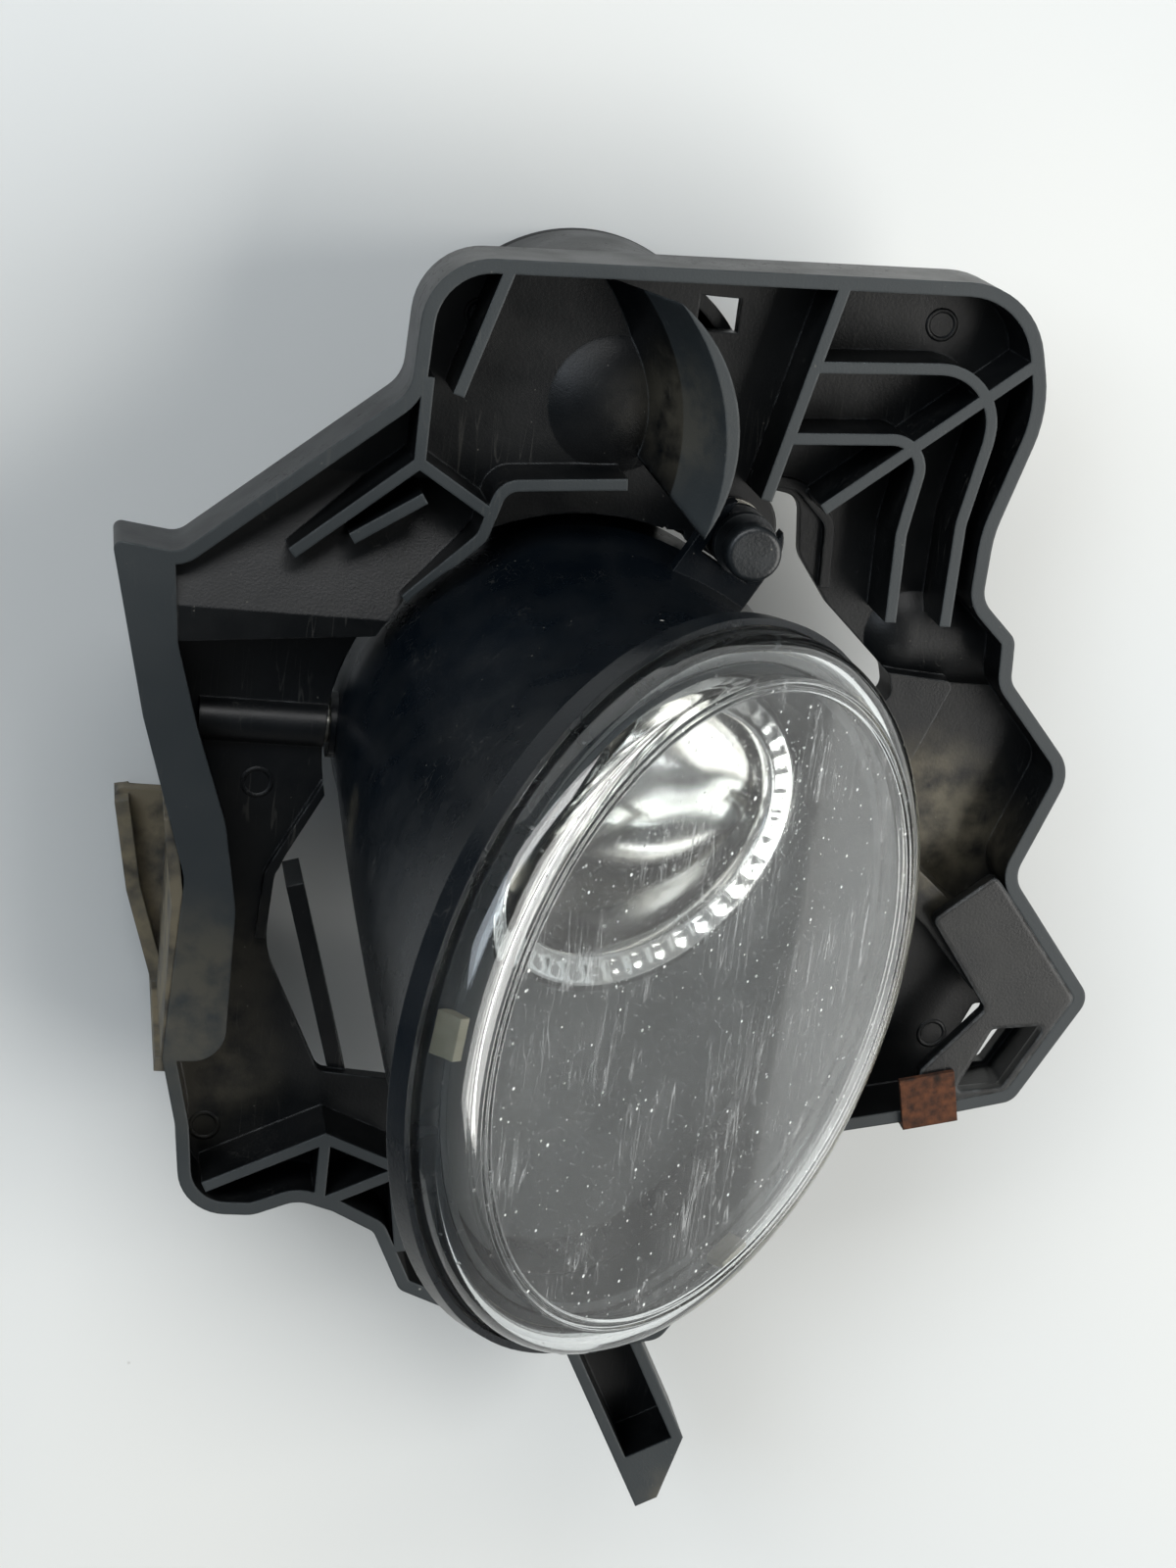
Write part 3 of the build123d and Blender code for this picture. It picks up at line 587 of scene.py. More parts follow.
@dataclass(frozen=True)
class ClearPolycarbonate:
    """Moulded, hard-coated polycarbonate of the lens.

    It gives clear depth with long thin highlights on its round shoulder. The flat face holds
    a veil of dust, dense white specks and hairline scratches from road grit.
    """

    name: str = "polycarbonate_moulded_clear"
    clean: str = "#f7fafa"
    veil: str = "#c3c9ca"
    speck: str = "#e8ebe8"
    settled_mm: tuple[float, float, float] = (32.0, -26.0, 6.0)
    settled_reach_mm: float = 26.0

    def material(self, centre: Vector, turn: Matrix, disc_radius: float) -> bpy.types.Material:
        """Build the material.

        Args:
            centre: Centre of the lens on its rim plane.
            turn: Rotation from the lens axes to the frame.
            disc_radius: Radius of the flat face.

        Returns:
            The material.
        """
        made, tree, shader, place = new_material(self.name)
        back = turn.inverted().to_euler()
        shifted = add_node(tree, "ShaderNodeVectorMath",
                           {"operation": "SUBTRACT", 1: tuple(centre)}, {0: place})
        own = add_node(tree, "ShaderNodeMapping", {"Rotation": tuple(back)},
                       {"Vector": shifted.outputs["Vector"]}).outputs["Vector"]
        parts = add_node(tree, "ShaderNodeSeparateXYZ", links={"Vector": own})
        flat = add_node(tree, "ShaderNodeCombineXYZ",
                        links={"X": parts.outputs["X"], "Y": parts.outputs["Y"]})
        radius = add_node(tree, "ShaderNodeVectorMath", {"operation": "LENGTH"},
                          {0: flat.outputs["Vector"]})
        disc = add_node(tree, "ShaderNodeMapRange",
                        {"From Min": disc_radius, "From Max": disc_radius - 0.4 * MM},
                        {"Value": radius.outputs["Value"]})
        rim = add_node(tree, "ShaderNodeMapRange",
                       {"From Min": disc_radius - 5.0 * MM, "From Max": disc_radius - 1.0 * MM},
                       {"Value": radius.outputs["Value"]})
        corner = near(tree, own, self.settled_mm, self.settled_reach_mm)
        settled = add_node(tree, "ShaderNodeMath", {"operation": "MULTIPLY"},
                           {0: rim.outputs["Result"], 1: corner})
        film = cloud(tree, own, 13.0, 0.22, 0.80, 6.0)
        fine = specks(tree, own, 0.52, 0.16, 0.75)
        bold = specks(tree, own, 1.5, 0.30, 0.50)
        hair = scratches(tree, own, 1.6, 0.010, (0.0, 0.0, -0.5))
        cross = scratches(tree, own, 2.1, 0.009, (0.0, 0.0, 0.9))
        faint = add_node(tree, "ShaderNodeMath", {"operation": "MULTIPLY", 1: 0.30}, {0: fine})
        marks = add_node(tree, "ShaderNodeMath", {"operation": "MAXIMUM"},
                         {0: faint.outputs[0], 1: bold})
        lines = add_node(tree, "ShaderNodeMath", {"operation": "MAXIMUM"}, {0: hair, 1: cross})
        veil = add_node(tree, "ShaderNodeMapRange", {"To Min": 0.008, "To Max": 0.05},
                        {"Value": film})
        dusty = add_node(tree, "ShaderNodeMath", {"operation": "MULTIPLY_ADD", 1: 0.75},
                         {0: marks.outputs[0], 2: veil.outputs["Result"]})
        dusty = add_node(tree, "ShaderNodeMath", {"operation": "MULTIPLY_ADD", 1: 0.30},
                         {0: settled.outputs[0], 2: dusty.outputs[0]})
        dusty = add_node(tree, "ShaderNodeMath", {"operation": "MULTIPLY_ADD", 1: 0.25},
                         {0: lines.outputs[0], 2: dusty.outputs[0]})
        on_disc = add_node(tree, "ShaderNodeMath", {"operation": "MULTIPLY"},
                           {0: dusty.outputs[0], 1: disc.outputs["Result"]})
        elsewhere = add_node(tree, "ShaderNodeMath", {"operation": "MULTIPLY_ADD", 1: 0.12, 2: 0.004},
                             {0: bold})
        all_dust = add_node(tree, "ShaderNodeMath", {"operation": "MAXIMUM"},
                            {0: on_disc.outputs[0], 1: elsewhere.outputs[0]})
        clear = add_node(tree, "ShaderNodeMath",
                         {"operation": "SUBTRACT", 0: 1.0, "use_clamp": True},
                         {1: all_dust.outputs[0]})
        rough = add_node(tree, "ShaderNodeMath", {"operation": "MULTIPLY_ADD", 1: 0.35, 2: 0.03},
                         {0: all_dust.outputs[0]})
        colour = tinted(tree, self.clean, self.veil, all_dust.outputs[0], 1.0)
        colour = tinted(tree, colour, self.speck, marks.outputs[0], 0.9)
        tree.links.new(colour, shader.inputs["Base Color"])
        tree.links.new(clear.outputs[0], shader.inputs["Transmission Weight"])
        tree.links.new(rough.outputs[0], shader.inputs["Roughness"])
        tree.links.new(embossed(tree, marks.outputs[0], 0.03, 0.4), shader.inputs["Normal"])
        shader.inputs["IOR"].default_value = 1.585
        return made


@dataclass(frozen=True)
class VacuumMetallising:
    """Aluminium evaporated on lacquered plastic.

    It gives a bright, slightly milky mirror, with faint dust and hazy patches in a warm tone.
    """

    name: str = "aluminium_vacuum_metallised"
    bright: str = "#ecedee"
    warm: str = "#d9d2c4"
    dust: str = "#a9a89f"

    def material(self) -> bpy.types.Material:
        """Build the material."""
        made, tree, shader, place = new_material(self.name)
        haze = cloud(tree, place, 8.0, 0.35, 0.75, 4.0)
        dust = specks(tree, place, 1.3, 0.16, 0.3)
        colour = tinted(tree, self.bright, self.warm, haze, 0.5)
        colour = tinted(tree, colour, self.dust, dust, 0.5)
        orange_peel = cloud(tree, place, 6.0, 0.2, 0.8, 1.0)
        tree.links.new(colour, shader.inputs["Base Color"])
        tree.links.new(roughened(tree, 0.09, [(haze, 0.10), (dust, 0.4)]),
                       shader.inputs["Roughness"])
        tree.links.new(embossed(tree, orange_peel, 0.04, 0.12), shader.inputs["Normal"])
        shader.inputs["Metallic"].default_value = 1.0
        return made


@dataclass(frozen=True)
class PlatedMetal:
    """Turned or stamped metal with a plated or bare skin.

    It gives a soft metallic gleam with turning marks, stains and, where it is left open to
    the weather, rust that is rough and orange-brown.
    """

    name: str
    metal: str
    stain: str
    roughness: float = 0.32
    rust: float = 0.0
    rust_pale: str = "#a8683a"
    rust_deep: str = "#54301d"

    def material(self) -> bpy.types.Material:
        """Build the material."""
        made, tree, shader, place = new_material(self.name)
        marks = cloud(tree, place, 0.5, 0.3, 0.7, 2.0, (1.0, 1.0, 0.15))
        stain = cloud(tree, place, 3.0, 0.45, 0.70, 5.0)
        normal, edge = worn_edge(tree, place, 0.15)
        colour = tinted(tree, self.metal, self.stain, stain, 0.7)
        colour = tinted(tree, colour, self.metal, edge, 0.4)
        changes = [(marks, 0.08), (stain, 0.2)]
        if self.rust > 0.0:
            scale = cloud(tree, place, 1.4, 0.30, 0.66, 8.0)
            eaten = cloud(tree, place, 5.0, 0.62 - 0.45 * self.rust, 0.72 - 0.45 * self.rust, 8.0)
            colour = tinted(tree, colour, self.rust_deep, eaten, 1.0)
            both = add_node(tree, "ShaderNodeMath", {"operation": "MULTIPLY"},
                            {0: scale, 1: eaten})
            colour = tinted(tree, colour, self.rust_pale, both.outputs[0], 0.85)
            bare = add_node(tree, "ShaderNodeMath", {"operation": "SUBTRACT", 0: 1.0}, {1: eaten})
            tree.links.new(bare.outputs[0], shader.inputs["Metallic"])
            changes.append((eaten, 0.5))
            normal = embossed(tree, scale, 0.12, 0.7, normal)
        else:
            shader.inputs["Metallic"].default_value = 1.0
        tree.links.new(colour, shader.inputs["Base Color"])
        tree.links.new(roughened(tree, self.roughness, changes), shader.inputs["Roughness"])
        tree.links.new(embossed(tree, marks, 0.02, 0.4, normal), shader.inputs["Normal"])
        return made


@dataclass(frozen=True)
class SoftOrNylon:
    """Moulded rubber or nylon of the small fittings.

    It gives a dull, even skin with dust in patches, a faint grain and edges a little paler.
    """

    name: str
    base: str
    pale: str
    roughness: float = 0.6
    grain_mm: float = 0.5
    ior: float = 1.52
    dust: str = "#9b978b"

    def material(self) -> bpy.types.Material:
        """Build the material."""
        made, tree, shader, place = new_material(self.name)
        patches = cloud(tree, place, 4.0, 0.38, 0.70, 5.0)
        grit = specks(tree, place, 0.9, 0.14, 0.3)
        normal, edge = worn_edge(tree, place, 0.2)
        colour = tinted(tree, self.base, self.pale, patches, 0.7)
        colour = tinted(tree, colour, self.pale, edge, 0.6)
        colour = tinted(tree, colour, self.dust, grit, 0.35)
        grain = cloud(tree, place, self.grain_mm, 0.3, 0.7, 2.0)
        tree.links.new(colour, shader.inputs["Base Color"])
        tree.links.new(roughened(tree, self.roughness, [(patches, 0.15), (grit, 0.2)]),
                       shader.inputs["Roughness"])
        tree.links.new(embossed(tree, grain, 0.03, 0.4, normal), shader.inputs["Normal"])
        shader.inputs["IOR"].default_value = self.ior
        return made


@dataclass(frozen=True)
class DrawnGlass:
    """Drawn aluminosilicate glass of the halogen bulb, clear with a faint smoky tip."""

    name: str = "glass_drawn_halogen"
    clear: str = "#fbfdfd"
    tip: str = "#8d9296"
    smoke: str = "#d9d4c8"

    def material(self, top: float) -> bpy.types.Material:
        """Build the material.

        Args:
            top: Height of the bulb's tip.

        Returns:
            The material.
        """
        made, tree, shader, place = new_material(self.name)
        height = add_node(tree, "ShaderNodeSeparateXYZ", links={"Vector": place})
        tip = add_node(tree, "ShaderNodeMapRange",
                       {"From Min": top - 4.5 * MM, "From Max": top - 2.5 * MM},
                       {"Value": height.outputs["Z"]})
        smoke = cloud(tree, place, 3.0, 0.4, 0.8, 3.0)
        colour = tinted(tree, self.clear, self.tip, tip.outputs["Result"], 0.85)
        colour = tinted(tree, colour, self.smoke, smoke, 0.3)
        tree.links.new(colour, shader.inputs["Base Color"])
        tree.links.new(roughened(tree, 0.02, [(smoke, 0.06)]), shader.inputs["Roughness"])
        tree.links.new(embossed(tree, smoke, 0.03, 0.3), shader.inputs["Normal"])
        shader.inputs["Transmission Weight"].default_value = 1.0
        shader.inputs["IOR"].default_value = 1.52
        return made


# ---- the studio ---------------------------------------------------------------------------------
@dataclass(frozen=True)
class Lamp:
    """A soft box: where it stands, what it faces, its size, its power and its colour."""

    name: str
    place: tuple[float, float, float]
    aim: tuple[float, float, float]
    size: tuple[float, float]
    power: float
    colour: str = "#ffffff"

    def build(self) -> bpy.types.Object:
        """Hang the soft box so that it faces its aim."""
        light = bpy.data.lights.new(self.name, "AREA")
        light.shape = "RECTANGLE"
        light.size, light.size_y = self.size
        light.energy = self.power
        light.color = linear(self.colour)[:3]
        lamp = bpy.data.objects.new(self.name, light)
        lamp.location = self.place
        facing = Vector(self.aim) - Vector(self.place)
        lamp.rotation_euler = facing.to_track_quat("-Z", "Y").to_euler()
        bpy.context.scene.collection.objects.link(lamp)
        return lamp


@dataclass(frozen=True)
class Studio:
    """Pale table, soft light and the camera above the lens."""

    camera_place: tuple[float, float, float] = (-0.0694, 0.0676, 0.3710)
    camera_back: tuple[float, float, float] = (-0.199, 0.316, 0.927)
    camera_up: tuple[float, float, float] = (-0.062, 0.940, -0.334)
    focal_length: float = 62.73
    film_height: float = 36.0
    table_size: float = 1.0
    table_points: int = 13
    table_below_mm: float = 0.1
    lamps: tuple[Lamp, ...] = (
        Lamp("key_box", (1.30, -0.25, 1.10), (0.0, -0.05, 0.0), (1.4, 1.4), 34.0, "#fffdf9"),
        Lamp("far_box", (-0.35, 1.20, 1.05), (0.0, -0.05, 0.03), (1.5, 0.6), 15.0, "#ffffff"),
        Lamp("window_card", (-1.00, 0.55, 1.15), (-0.1, -0.05, 0.0), (0.7, 0.9), 8.0, "#e3edf8"),
    )

    def build(self) -> None:
        """Build the table, the light and the camera."""
        bpy.context.scene.view_settings.view_transform = "Standard"
        self.table()
        self.daylight()
        for lamp in self.lamps:
            lamp.build()
        self.camera()

    def table(self) -> None:
        """Lay the pale table: a flat grid of points with a painted, faintly speckled skin."""
        count = self.table_points
        steps = np.linspace(-self.table_size / 2, self.table_size / 2, count)
        x, y = np.meshgrid(steps, steps)
        points = np.stack([x, y, 0 * x - self.table_below_mm * MM], axis=-1)
        table = mesh_piece("table", points, grid_faces(count, count, Closing.NEITHER))
        made, tree, shader, place = new_material("paint_rolled_pale")
        shade = cloud(tree, place, 160.0, 0.25, 0.75, 2.0)
        marks = specks(tree, place, 24.0, 0.8, 0.10)
        colour = tinted(tree, "#dedfdc", "#d2d6d7", shade, 1.0)
        colour = tinted(tree, colour, "#a9a8a4", marks, 0.5)
        tree.links.new(colour, shader.inputs["Base Color"])
        tree.links.new(roughened(tree, 0.55, [(shade, 0.1)]), shader.inputs["Roughness"])
        table.data.materials.append(made)

    def daylight(self) -> None:
        """Fill the room with light that is brightest low on the right and dim overhead."""
        world = bpy.data.worlds.new("room")
        bpy.context.scene.world = world
        world.use_nodes = True
        tree = world.node_tree
        tree.nodes.clear()
        way = add_node(tree, "ShaderNodeTexCoord").outputs["Generated"]
        facing = add_node(tree, "ShaderNodeVectorMath",
                          {"operation": "DOT_PRODUCT", 1: (0.90, -0.42, 0.08)}, {0: way})
        level = add_node(tree, "ShaderNodeMapRange",
                         {"From Min": 0.2, "From Max": 0.95, "To Min": 0.14, "To Max": 0.42},
                         {"Value": facing.outputs["Value"]})
        colour = add_node(tree, "ShaderNodeMapRange", {"From Min": -0.3, "From Max": 0.5},
                          {"Value": facing.outputs["Value"]})
        back = add_node(tree, "ShaderNodeBackground", links={
            "Color": tinted(tree, "#b9cddd", "#f6f6f4", colour.outputs["Result"], 1.0),
            "Strength": level.outputs["Result"]})
        add_node(tree, "ShaderNodeOutputWorld", links={"Surface": back.outputs["Background"]})

    def camera(self) -> None:
        """Place the camera: its axes are up crossed with back, up, and back."""
        back = Vector(self.camera_back).normalized()
        right = Vector(self.camera_up).cross(back).normalized()
        up = back.cross(right)
        data = bpy.data.cameras.new("camera")
        data.sensor_fit = "VERTICAL"
        data.sensor_height = self.film_height
        data.lens = self.focal_length
        data.clip_start, data.clip_end = 0.01, 10.0
        camera = bpy.data.objects.new("camera", data)
        turn = Matrix((right, up, back)).transposed().to_4x4()
        camera.matrix_world = Matrix.Translation(self.camera_place) @ turn
        bpy.context.scene.collection.objects.link(camera)
        bpy.context.scene.camera = camera


# ---- sub-assemblies -----------------------------------------------------------------------------
@dataclass
class LensAxes:
    """The lens axes: u down its slope, v up the bracket and h out of its face."""

    tilt: float = math.radians(40.0)
    seal_below_mm: float = 1.65

    @property
    def turn(self) -> Matrix:
        """Rotation from the lens axes to the frame, about +Y."""
        return Matrix.Rotation(self.tilt, 3, "Y")

    @property
    def centre(self) -> Vector:
        """Centre of the rim plane: the sealing bead's centre, moved out along the axis."""
        low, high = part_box("lens_seal")
        return (low + high) / 2 + self.turn @ Vector((0, 0, self.seal_below_mm * MM))

    def carry(self, points: np.ndarray) -> np.ndarray:
        """Move points from millimetres on the lens axes into the frame, in metres."""
        return points * MM @ np.array(self.turn).T + np.array(self.centre)


@dataclass
class Lens:
    """The clear lens: flat face, raised double line, round shoulder and skirt."""

    axes: LensAxes
    radius_mm: float = 47.0
    shoulder_mm: float = 4.5
    skirt_mm: float = 2.0
    wall_mm: float = 2.2
    foot_mm: float = -1.5
    crown_mm: float = 0.12
    line_mm: float = 0.28
    line_half_width_mm: float = 0.28
    line_insets_mm: tuple[float, float] = (0.35, 1.35)
    steps: int = 288

    def profile(self) -> np.ndarray:
        """The closed section from the axis over the face, round the shoulder and back inside.

        The face is crown * (1 - (r / R)^2) high over its edge, and each of the two lines near
        its edge is a parabola, line * (1 - (distance / half width)^2) where that is above 0.
        """
        disc = self.radius_mm - self.shoulder_mm
        top = self.skirt_mm + self.shoulder_mm
        radius = np.concatenate([np.linspace(0, disc - 2.2, 16), np.linspace(disc - 2.1, disc, 22)])
        lines = sum(np.clip(1 - ((radius - disc + inset) / self.line_half_width_mm) ** 2, 0, None)
                    for inset in self.line_insets_mm)
        height = top + self.crown_mm * (1 - (radius / disc) ** 2) + self.line_mm * lines
        face = np.stack([radius, height], axis=1)
        shoulder = arc((disc, self.skirt_mm), self.shoulder_mm, 88.0, 0.0, 22)
        skirt = np.array([[self.radius_mm, 0.6], [self.radius_mm, self.foot_mm + 0.2],
                          [self.radius_mm - 0.2, self.foot_mm]])
        inner = self.radius_mm - self.wall_mm
        rise = np.array([[inner + 0.2, self.foot_mm], [inner, self.foot_mm + 0.2],
                         [inner, 0.6], [inner, self.skirt_mm]])
        hollow = arc((disc, self.skirt_mm), self.shoulder_mm - self.wall_mm, 6.0, 90.0, 14)
        under = np.stack([np.linspace(disc - 1.0, 0, 12),
                          np.full(12, top - self.wall_mm)], axis=1)
        return np.concatenate([face, shoulder, skirt, rise, hollow, under])

    def build(self) -> bpy.types.Object:
        """Turn the section round the lens axis and put it on the lamp."""
        points = self.axes.carry(turned(self.profile(), self.steps))
        faces = grid_faces(points.shape[0], points.shape[1], Closing.COLUMNS)
        piece = mesh_piece("lens_shell", points, faces)
        disc = (self.radius_mm - self.shoulder_mm) * MM
        material = ClearPolycarbonate().material(self.axes.centre, self.axes.turn, disc)
        return settle(piece, Body.LAMP, material, ["fog_lens"])


@dataclass
class ReflectorBowl:
    """The metallised bowl with its oval rim, rippled band and round bulb opening."""

    axes: LensAxes
    half_length_mm: float = 31.0
    half_height_mm: float = 21.0
    offset_mm: tuple[float, float] = (2.0, 18.0)
    rim_mm: float = -12.0
    rim_width_mm: float = 5.45
    flange_mm: float = 1.4
    waist_mm: tuple[float, float] = (19.8, 15.3)
    waist_height_mm: float = 33.0
    waist_turn: float = math.radians(14.0)
    waist_shift_mm: tuple[float, float] = (1.0, 0.5)
    waist_share: float = 0.6
    neck_mm: float = 9.8
    neck_height_mm: float = 22.2
    collar_mm: float = 2.6
    wall_mm: float = 0.7
    steps: int = 320
    ripple_mm: float = 0.40
    ripples: int = 40
    band_from: float = math.radians(-62.0)

    def rim(self) -> np.ndarray:
        """The flange and the band: offsets inwards from the outer oval, and heights.

        Point (i, j) is the oval's point at angle a_j moved in by s_i. Its height over the flat
        flange is the section's, plus w_i * ripple * |sin(n a_j / 2)| for the shallow facets,
        and both fade by (0.5 + 0.8 cos(a_j - b)) away from the middle b of the band.
        """
        section = np.array([
            [0.0, 0.2, 0], [0.05, self.flange_mm - 0.1, 0], [0.3, self.flange_mm, 0],
            [1.3, self.flange_mm, 0], [1.45, 1.7, 0],
            [1.6, 2.7, 0], [1.85, 2.9, 0], [2.15, 2.8, 0], [2.4, 2.5, 0.3], [2.9, 2.25, 1],
            [3.5, 1.95, 1], [4.1, 1.65, 1], [4.5, 1.5, 0.3], [4.75, 1.9, 0], [5.0, 2.1, 0],
            [5.25, 2.0, 0], [5.4, 1.7, 0], [self.rim_width_mm, 1.2, 0]])
        angle = np.linspace(0, 2 * np.pi, self.steps, endpoint=False)[None, :]
        inset, height, share = (section[:, i:i + 1] for i in range(3))
        ripple = self.ripple_mm * np.abs(np.sin(self.ripples * angle / 2))
        shown = np.clip(0.5 + 0.8 * np.cos(angle - self.band_from), 0.0, 1.0)
        flange = np.minimum(height, self.flange_mm)
        return self.axes.carry(np.stack([
            self.offset_mm[0] + (self.half_length_mm - inset) * np.cos(angle),
            self.offset_mm[1] + (self.half_height_mm - inset) * np.sin(angle),
            self.rim_mm + flange + shown * (height - flange + share * ripple)], axis=-1))

    def bowl(self, axis: Vector) -> np.ndarray:
        """The bowl: three ovals blended by the parabola through them.

        Ring t is L0(t) mouth + L1(t) waist + L2(t) neck, with Lagrange's polynomials for
        t = 0, the waist's share and 1.

        Args:
            axis: A point on the bulb's axis in the frame.

        Returns:
            Array of shape (rings, steps, 3), in metres.
        """
        angle = np.linspace(0, 2 * np.pi, self.steps, endpoint=False)
        inset = self.rim_width_mm
        mouth = self.axes.carry(np.stack([
            self.offset_mm[0] + (self.half_length_mm - inset) * np.cos(angle),
            self.offset_mm[1] + (self.half_height_mm - inset) * np.sin(angle),
            np.full_like(angle, self.rim_mm + 0.4)], axis=-1))
        across = self.waist_mm[0] * np.cos(angle)
        lean = np.array([math.cos(self.waist_turn), 0.0, -math.sin(self.waist_turn)])
        waist = (across[:, None] * lean + (self.waist_mm[1] * np.sin(angle))[:, None]
                 * np.array([0.0, 1.0, 0.0])) * MM
        aside = self.waist_shift_mm
        waist += np.array([axis.x + aside[0] * MM, axis.y + aside[1] * MM,
                           self.waist_height_mm * MM])
        neck = np.stack([axis.x + self.neck_mm * MM * np.cos(angle),
                         axis.y + self.neck_mm * MM * np.sin(angle),
                         np.full_like(angle, self.neck_height_mm * MM)], axis=-1)
        t = np.linspace(0.0, 1.0, 44)[:, None, None]
        share = self.waist_share
        first = (t - share) * (t - 1.0) / share
        second = t * (t - 1.0) / (share * (share - 1.0))
        third = t * (t - share) / (1.0 - share)
        rings = first * mouth + second * waist + third * neck
        collar = neck - np.array([0.0, 0.0, self.collar_mm * MM])
        return np.concatenate([rings, collar[None]])

    def build(self) -> bpy.types.Object:
        """Join rim and bowl into one sheet and give it a wall."""
        low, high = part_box("bulb_glass")
        points = np.concatenate([self.rim(), self.bowl((low + high) / 2)])
        faces = grid_faces(points.shape[0], points.shape[1], Closing.COLUMNS)
        piece = mesh_piece("reflector_bowl", points, faces)
        wall = piece.modifiers.new("wall", "SOLIDIFY")
        wall.thickness = self.wall_mm * MM
        wall.offset = -1.0
        material = VacuumMetallising().material()
        return settle(piece, Body.LAMP, material, ["reflector"])


@dataclass
class Housing:
    """The black housing with what closes it: bezel, locators, beads, pins and breather."""

    def dress(self) -> None:
        """Give each CAD node of the lamp its finish."""
        dress(["lamp_housing"], MouldedPolypropylene(
            "nylon_glass_filled_smooth_black", "#060c12", "#0a1118", roughness=0.24, film=0.02,
            gloss=0.30, edge_mm=0.25, edge_amount=0.06, speck_amount=0.7, scratch_amount=0.07,
            soiling=(Soiling((-24.0, -22.0, 45.0), 7.0, 0.5), Soiling((-30.0, -50.0, 45.0), 5.0, 0.5),
                     Soiling((-6.0, -12.0, 40.0), 6.0, 0.4))
        ).material())
        dress(["inner_bezel"], MouldedPolypropylene(
            "polybutylene_moulded_grained_grey", "#1d2226", "#252b30", roughness=0.5,
            grain_mm=0.6, film=0.05, edge_amount=0.1, speck_amount=0.3,
            scratch_amount=0.05).material())
        dress(["lens_locators"], SoftOrNylon(
            "nylon_moulded_aged", "#8f8a79", "#a8a392", 0.5).material())
        dress(["lens_seal"], SoftOrNylon(
            "sealant_bead_pale", "#a39f90", "#bdb9a8", 0.6).material())
        dress(["vent_cap"], SoftOrNylon(
            "rubber_moulded_breather", "#141415", "#2b2b2b", 0.7).material())
        dress(["pivot_pins"], PlatedMetal(
            "steel_turned_zinc_pins", "#b9b8b0", "#7d7a70", 0.3).material())


@dataclass
class Carrier:
    """The moulded carrier with its boss, tab, guide, finger, clip, insert, pad and bushes."""

    mark_places_mm: tuple[tuple[float, float], ...] = (
        (44.0, 16.5), (-43.0, -104.0), (-40.0, -53.0), (52.5, 1.0), (60.0, -85.0),
        (-17.0, 12.0), (-2.0, -112.0), (20.0, -108.0))
    mark_radius_mm: float = 1.9
    mark_height_mm: float = 0.10
    mark_half_width_mm: float = 0.35
    mark_root_mm: float = 0.3
    mark_steps: int = 40
    web_top_mm: float = 25.0

    def marks(self, material: bpy.types.Material) -> bpy.types.Object:
        """Ring marks of the ejector pins on the web.

        Each is a ring whose height is a raised cosine across its width, turned round its own
        axis, and all are worked out at once by adding the array of places.

        Args:
            material: The carrier's material.

        Returns:
            The piece.
        """
        section = np.linspace(-1.0, 1.0, 9)
        profile = np.stack([self.mark_radius_mm + self.mark_half_width_mm * section,
                            self.mark_height_mm * (0.5 + 0.5 * np.cos(np.pi * section))], 1)
        closed = np.concatenate([profile, [[self.mark_radius_mm, -self.mark_root_mm]]])
        steps = self.mark_steps
        ring = turned(closed, steps)
        places = np.array([(*place, self.web_top_mm) for place in self.mark_places_mm])
        points = (ring[None] + places[:, None, None]) * MM
        faces = grid_faces(len(closed), steps, Closing.BOTH)
        shift = np.arange(len(places))[:, None, None] * len(closed) * steps
        piece = mesh_piece("ejector_marks", points, (faces[None] + shift).reshape(-1, 4))
        return settle(piece, Body.BRACKET, material)

    def build(self) -> None:
        """Dress the CAD nodes and add the ejector marks."""
        # The carrier's faces above 33.9 mm are painted paler: partly rubbing, partly a painted sheen of
        # the light they catch.
        skin = MouldedPolypropylene(
            "polypropylene_moulded_satin_black", "#050709", "#090c0f", roughness=0.33,
            gloss=0.40, film=0.02, edge_mm=0.4, edge_amount=0.30, speck_amount=0.6,
            scratch_amount=0.10, rubbed_and_sheen="#34393b", rubbed_and_sheen_from_mm=33.9,
            soiling=(Soiling((52.0, -52.0, 26.0), 16.0, 0.9),
                     Soiling((-44.0, -95.0, 25.0), 14.0, 0.3),
                     Soiling((-46.0, -80.0, 34.0), 17.0, 0.45),
                     Soiling((-25.0, -45.0, 25.0), 9.0, 0.3),
                     Soiling((30.0, -157.0, 30.0), 8.0, 0.6),
                     Soiling((8.0, 3.0, 34.0), 12.0, 0.35))).material()
        dress(["carrier_bracket", "fixing_boss", "tab_leg", "lower_finger"], skin)
        # The window tab wears a darker copy of the carrier's black without its paler front faces:
        # painted shade standing in for a face turned away from the light.
        dress(["window_tab"], MouldedPolypropylene(
            "polypropylene_moulded_black_painted_shade", "#060809", "#0d1012", roughness=0.34,
            film=0.05, edge_mm=0.9, edge_amount=0.55, speck_amount=0.4,
            scratch_amount=0.12).material())
        dress(["left_guide"], MouldedPolypropylene(
            "polypropylene_moulded_soiled", "#15181a", "#23262a", roughness=0.5,
            film=0.35, edge_amount=0.4, speck_amount=0.5, dirt="#79705c",
            soiling=(Soiling((-52.0, -76.0, 18.0), 44.0, 0.95),)).material())
        dress(["retaining_clip"], PlatedMetal(
            "spring_steel_rusted", "#3d3935", "#2a211b", 0.5, rust=0.72,
            rust_pale="#633b23", rust_deep="#2c1c15").material())
        dress(["rear_pad"], SoftOrNylon("rubber_moulded_pad", "#101011", "#242424", 0.75).material())
        dress(["pivot_bushes"], SoftOrNylon(
            "nylon_moulded_natural", "#b5ad9a", "#cfc9ba", 0.45).material())
        dress(["fixing_insert"], PlatedMetal(
            "brass_turned_insert", "#b08d4c", "#6f5a34", 0.3).material())
        self.marks(skin)


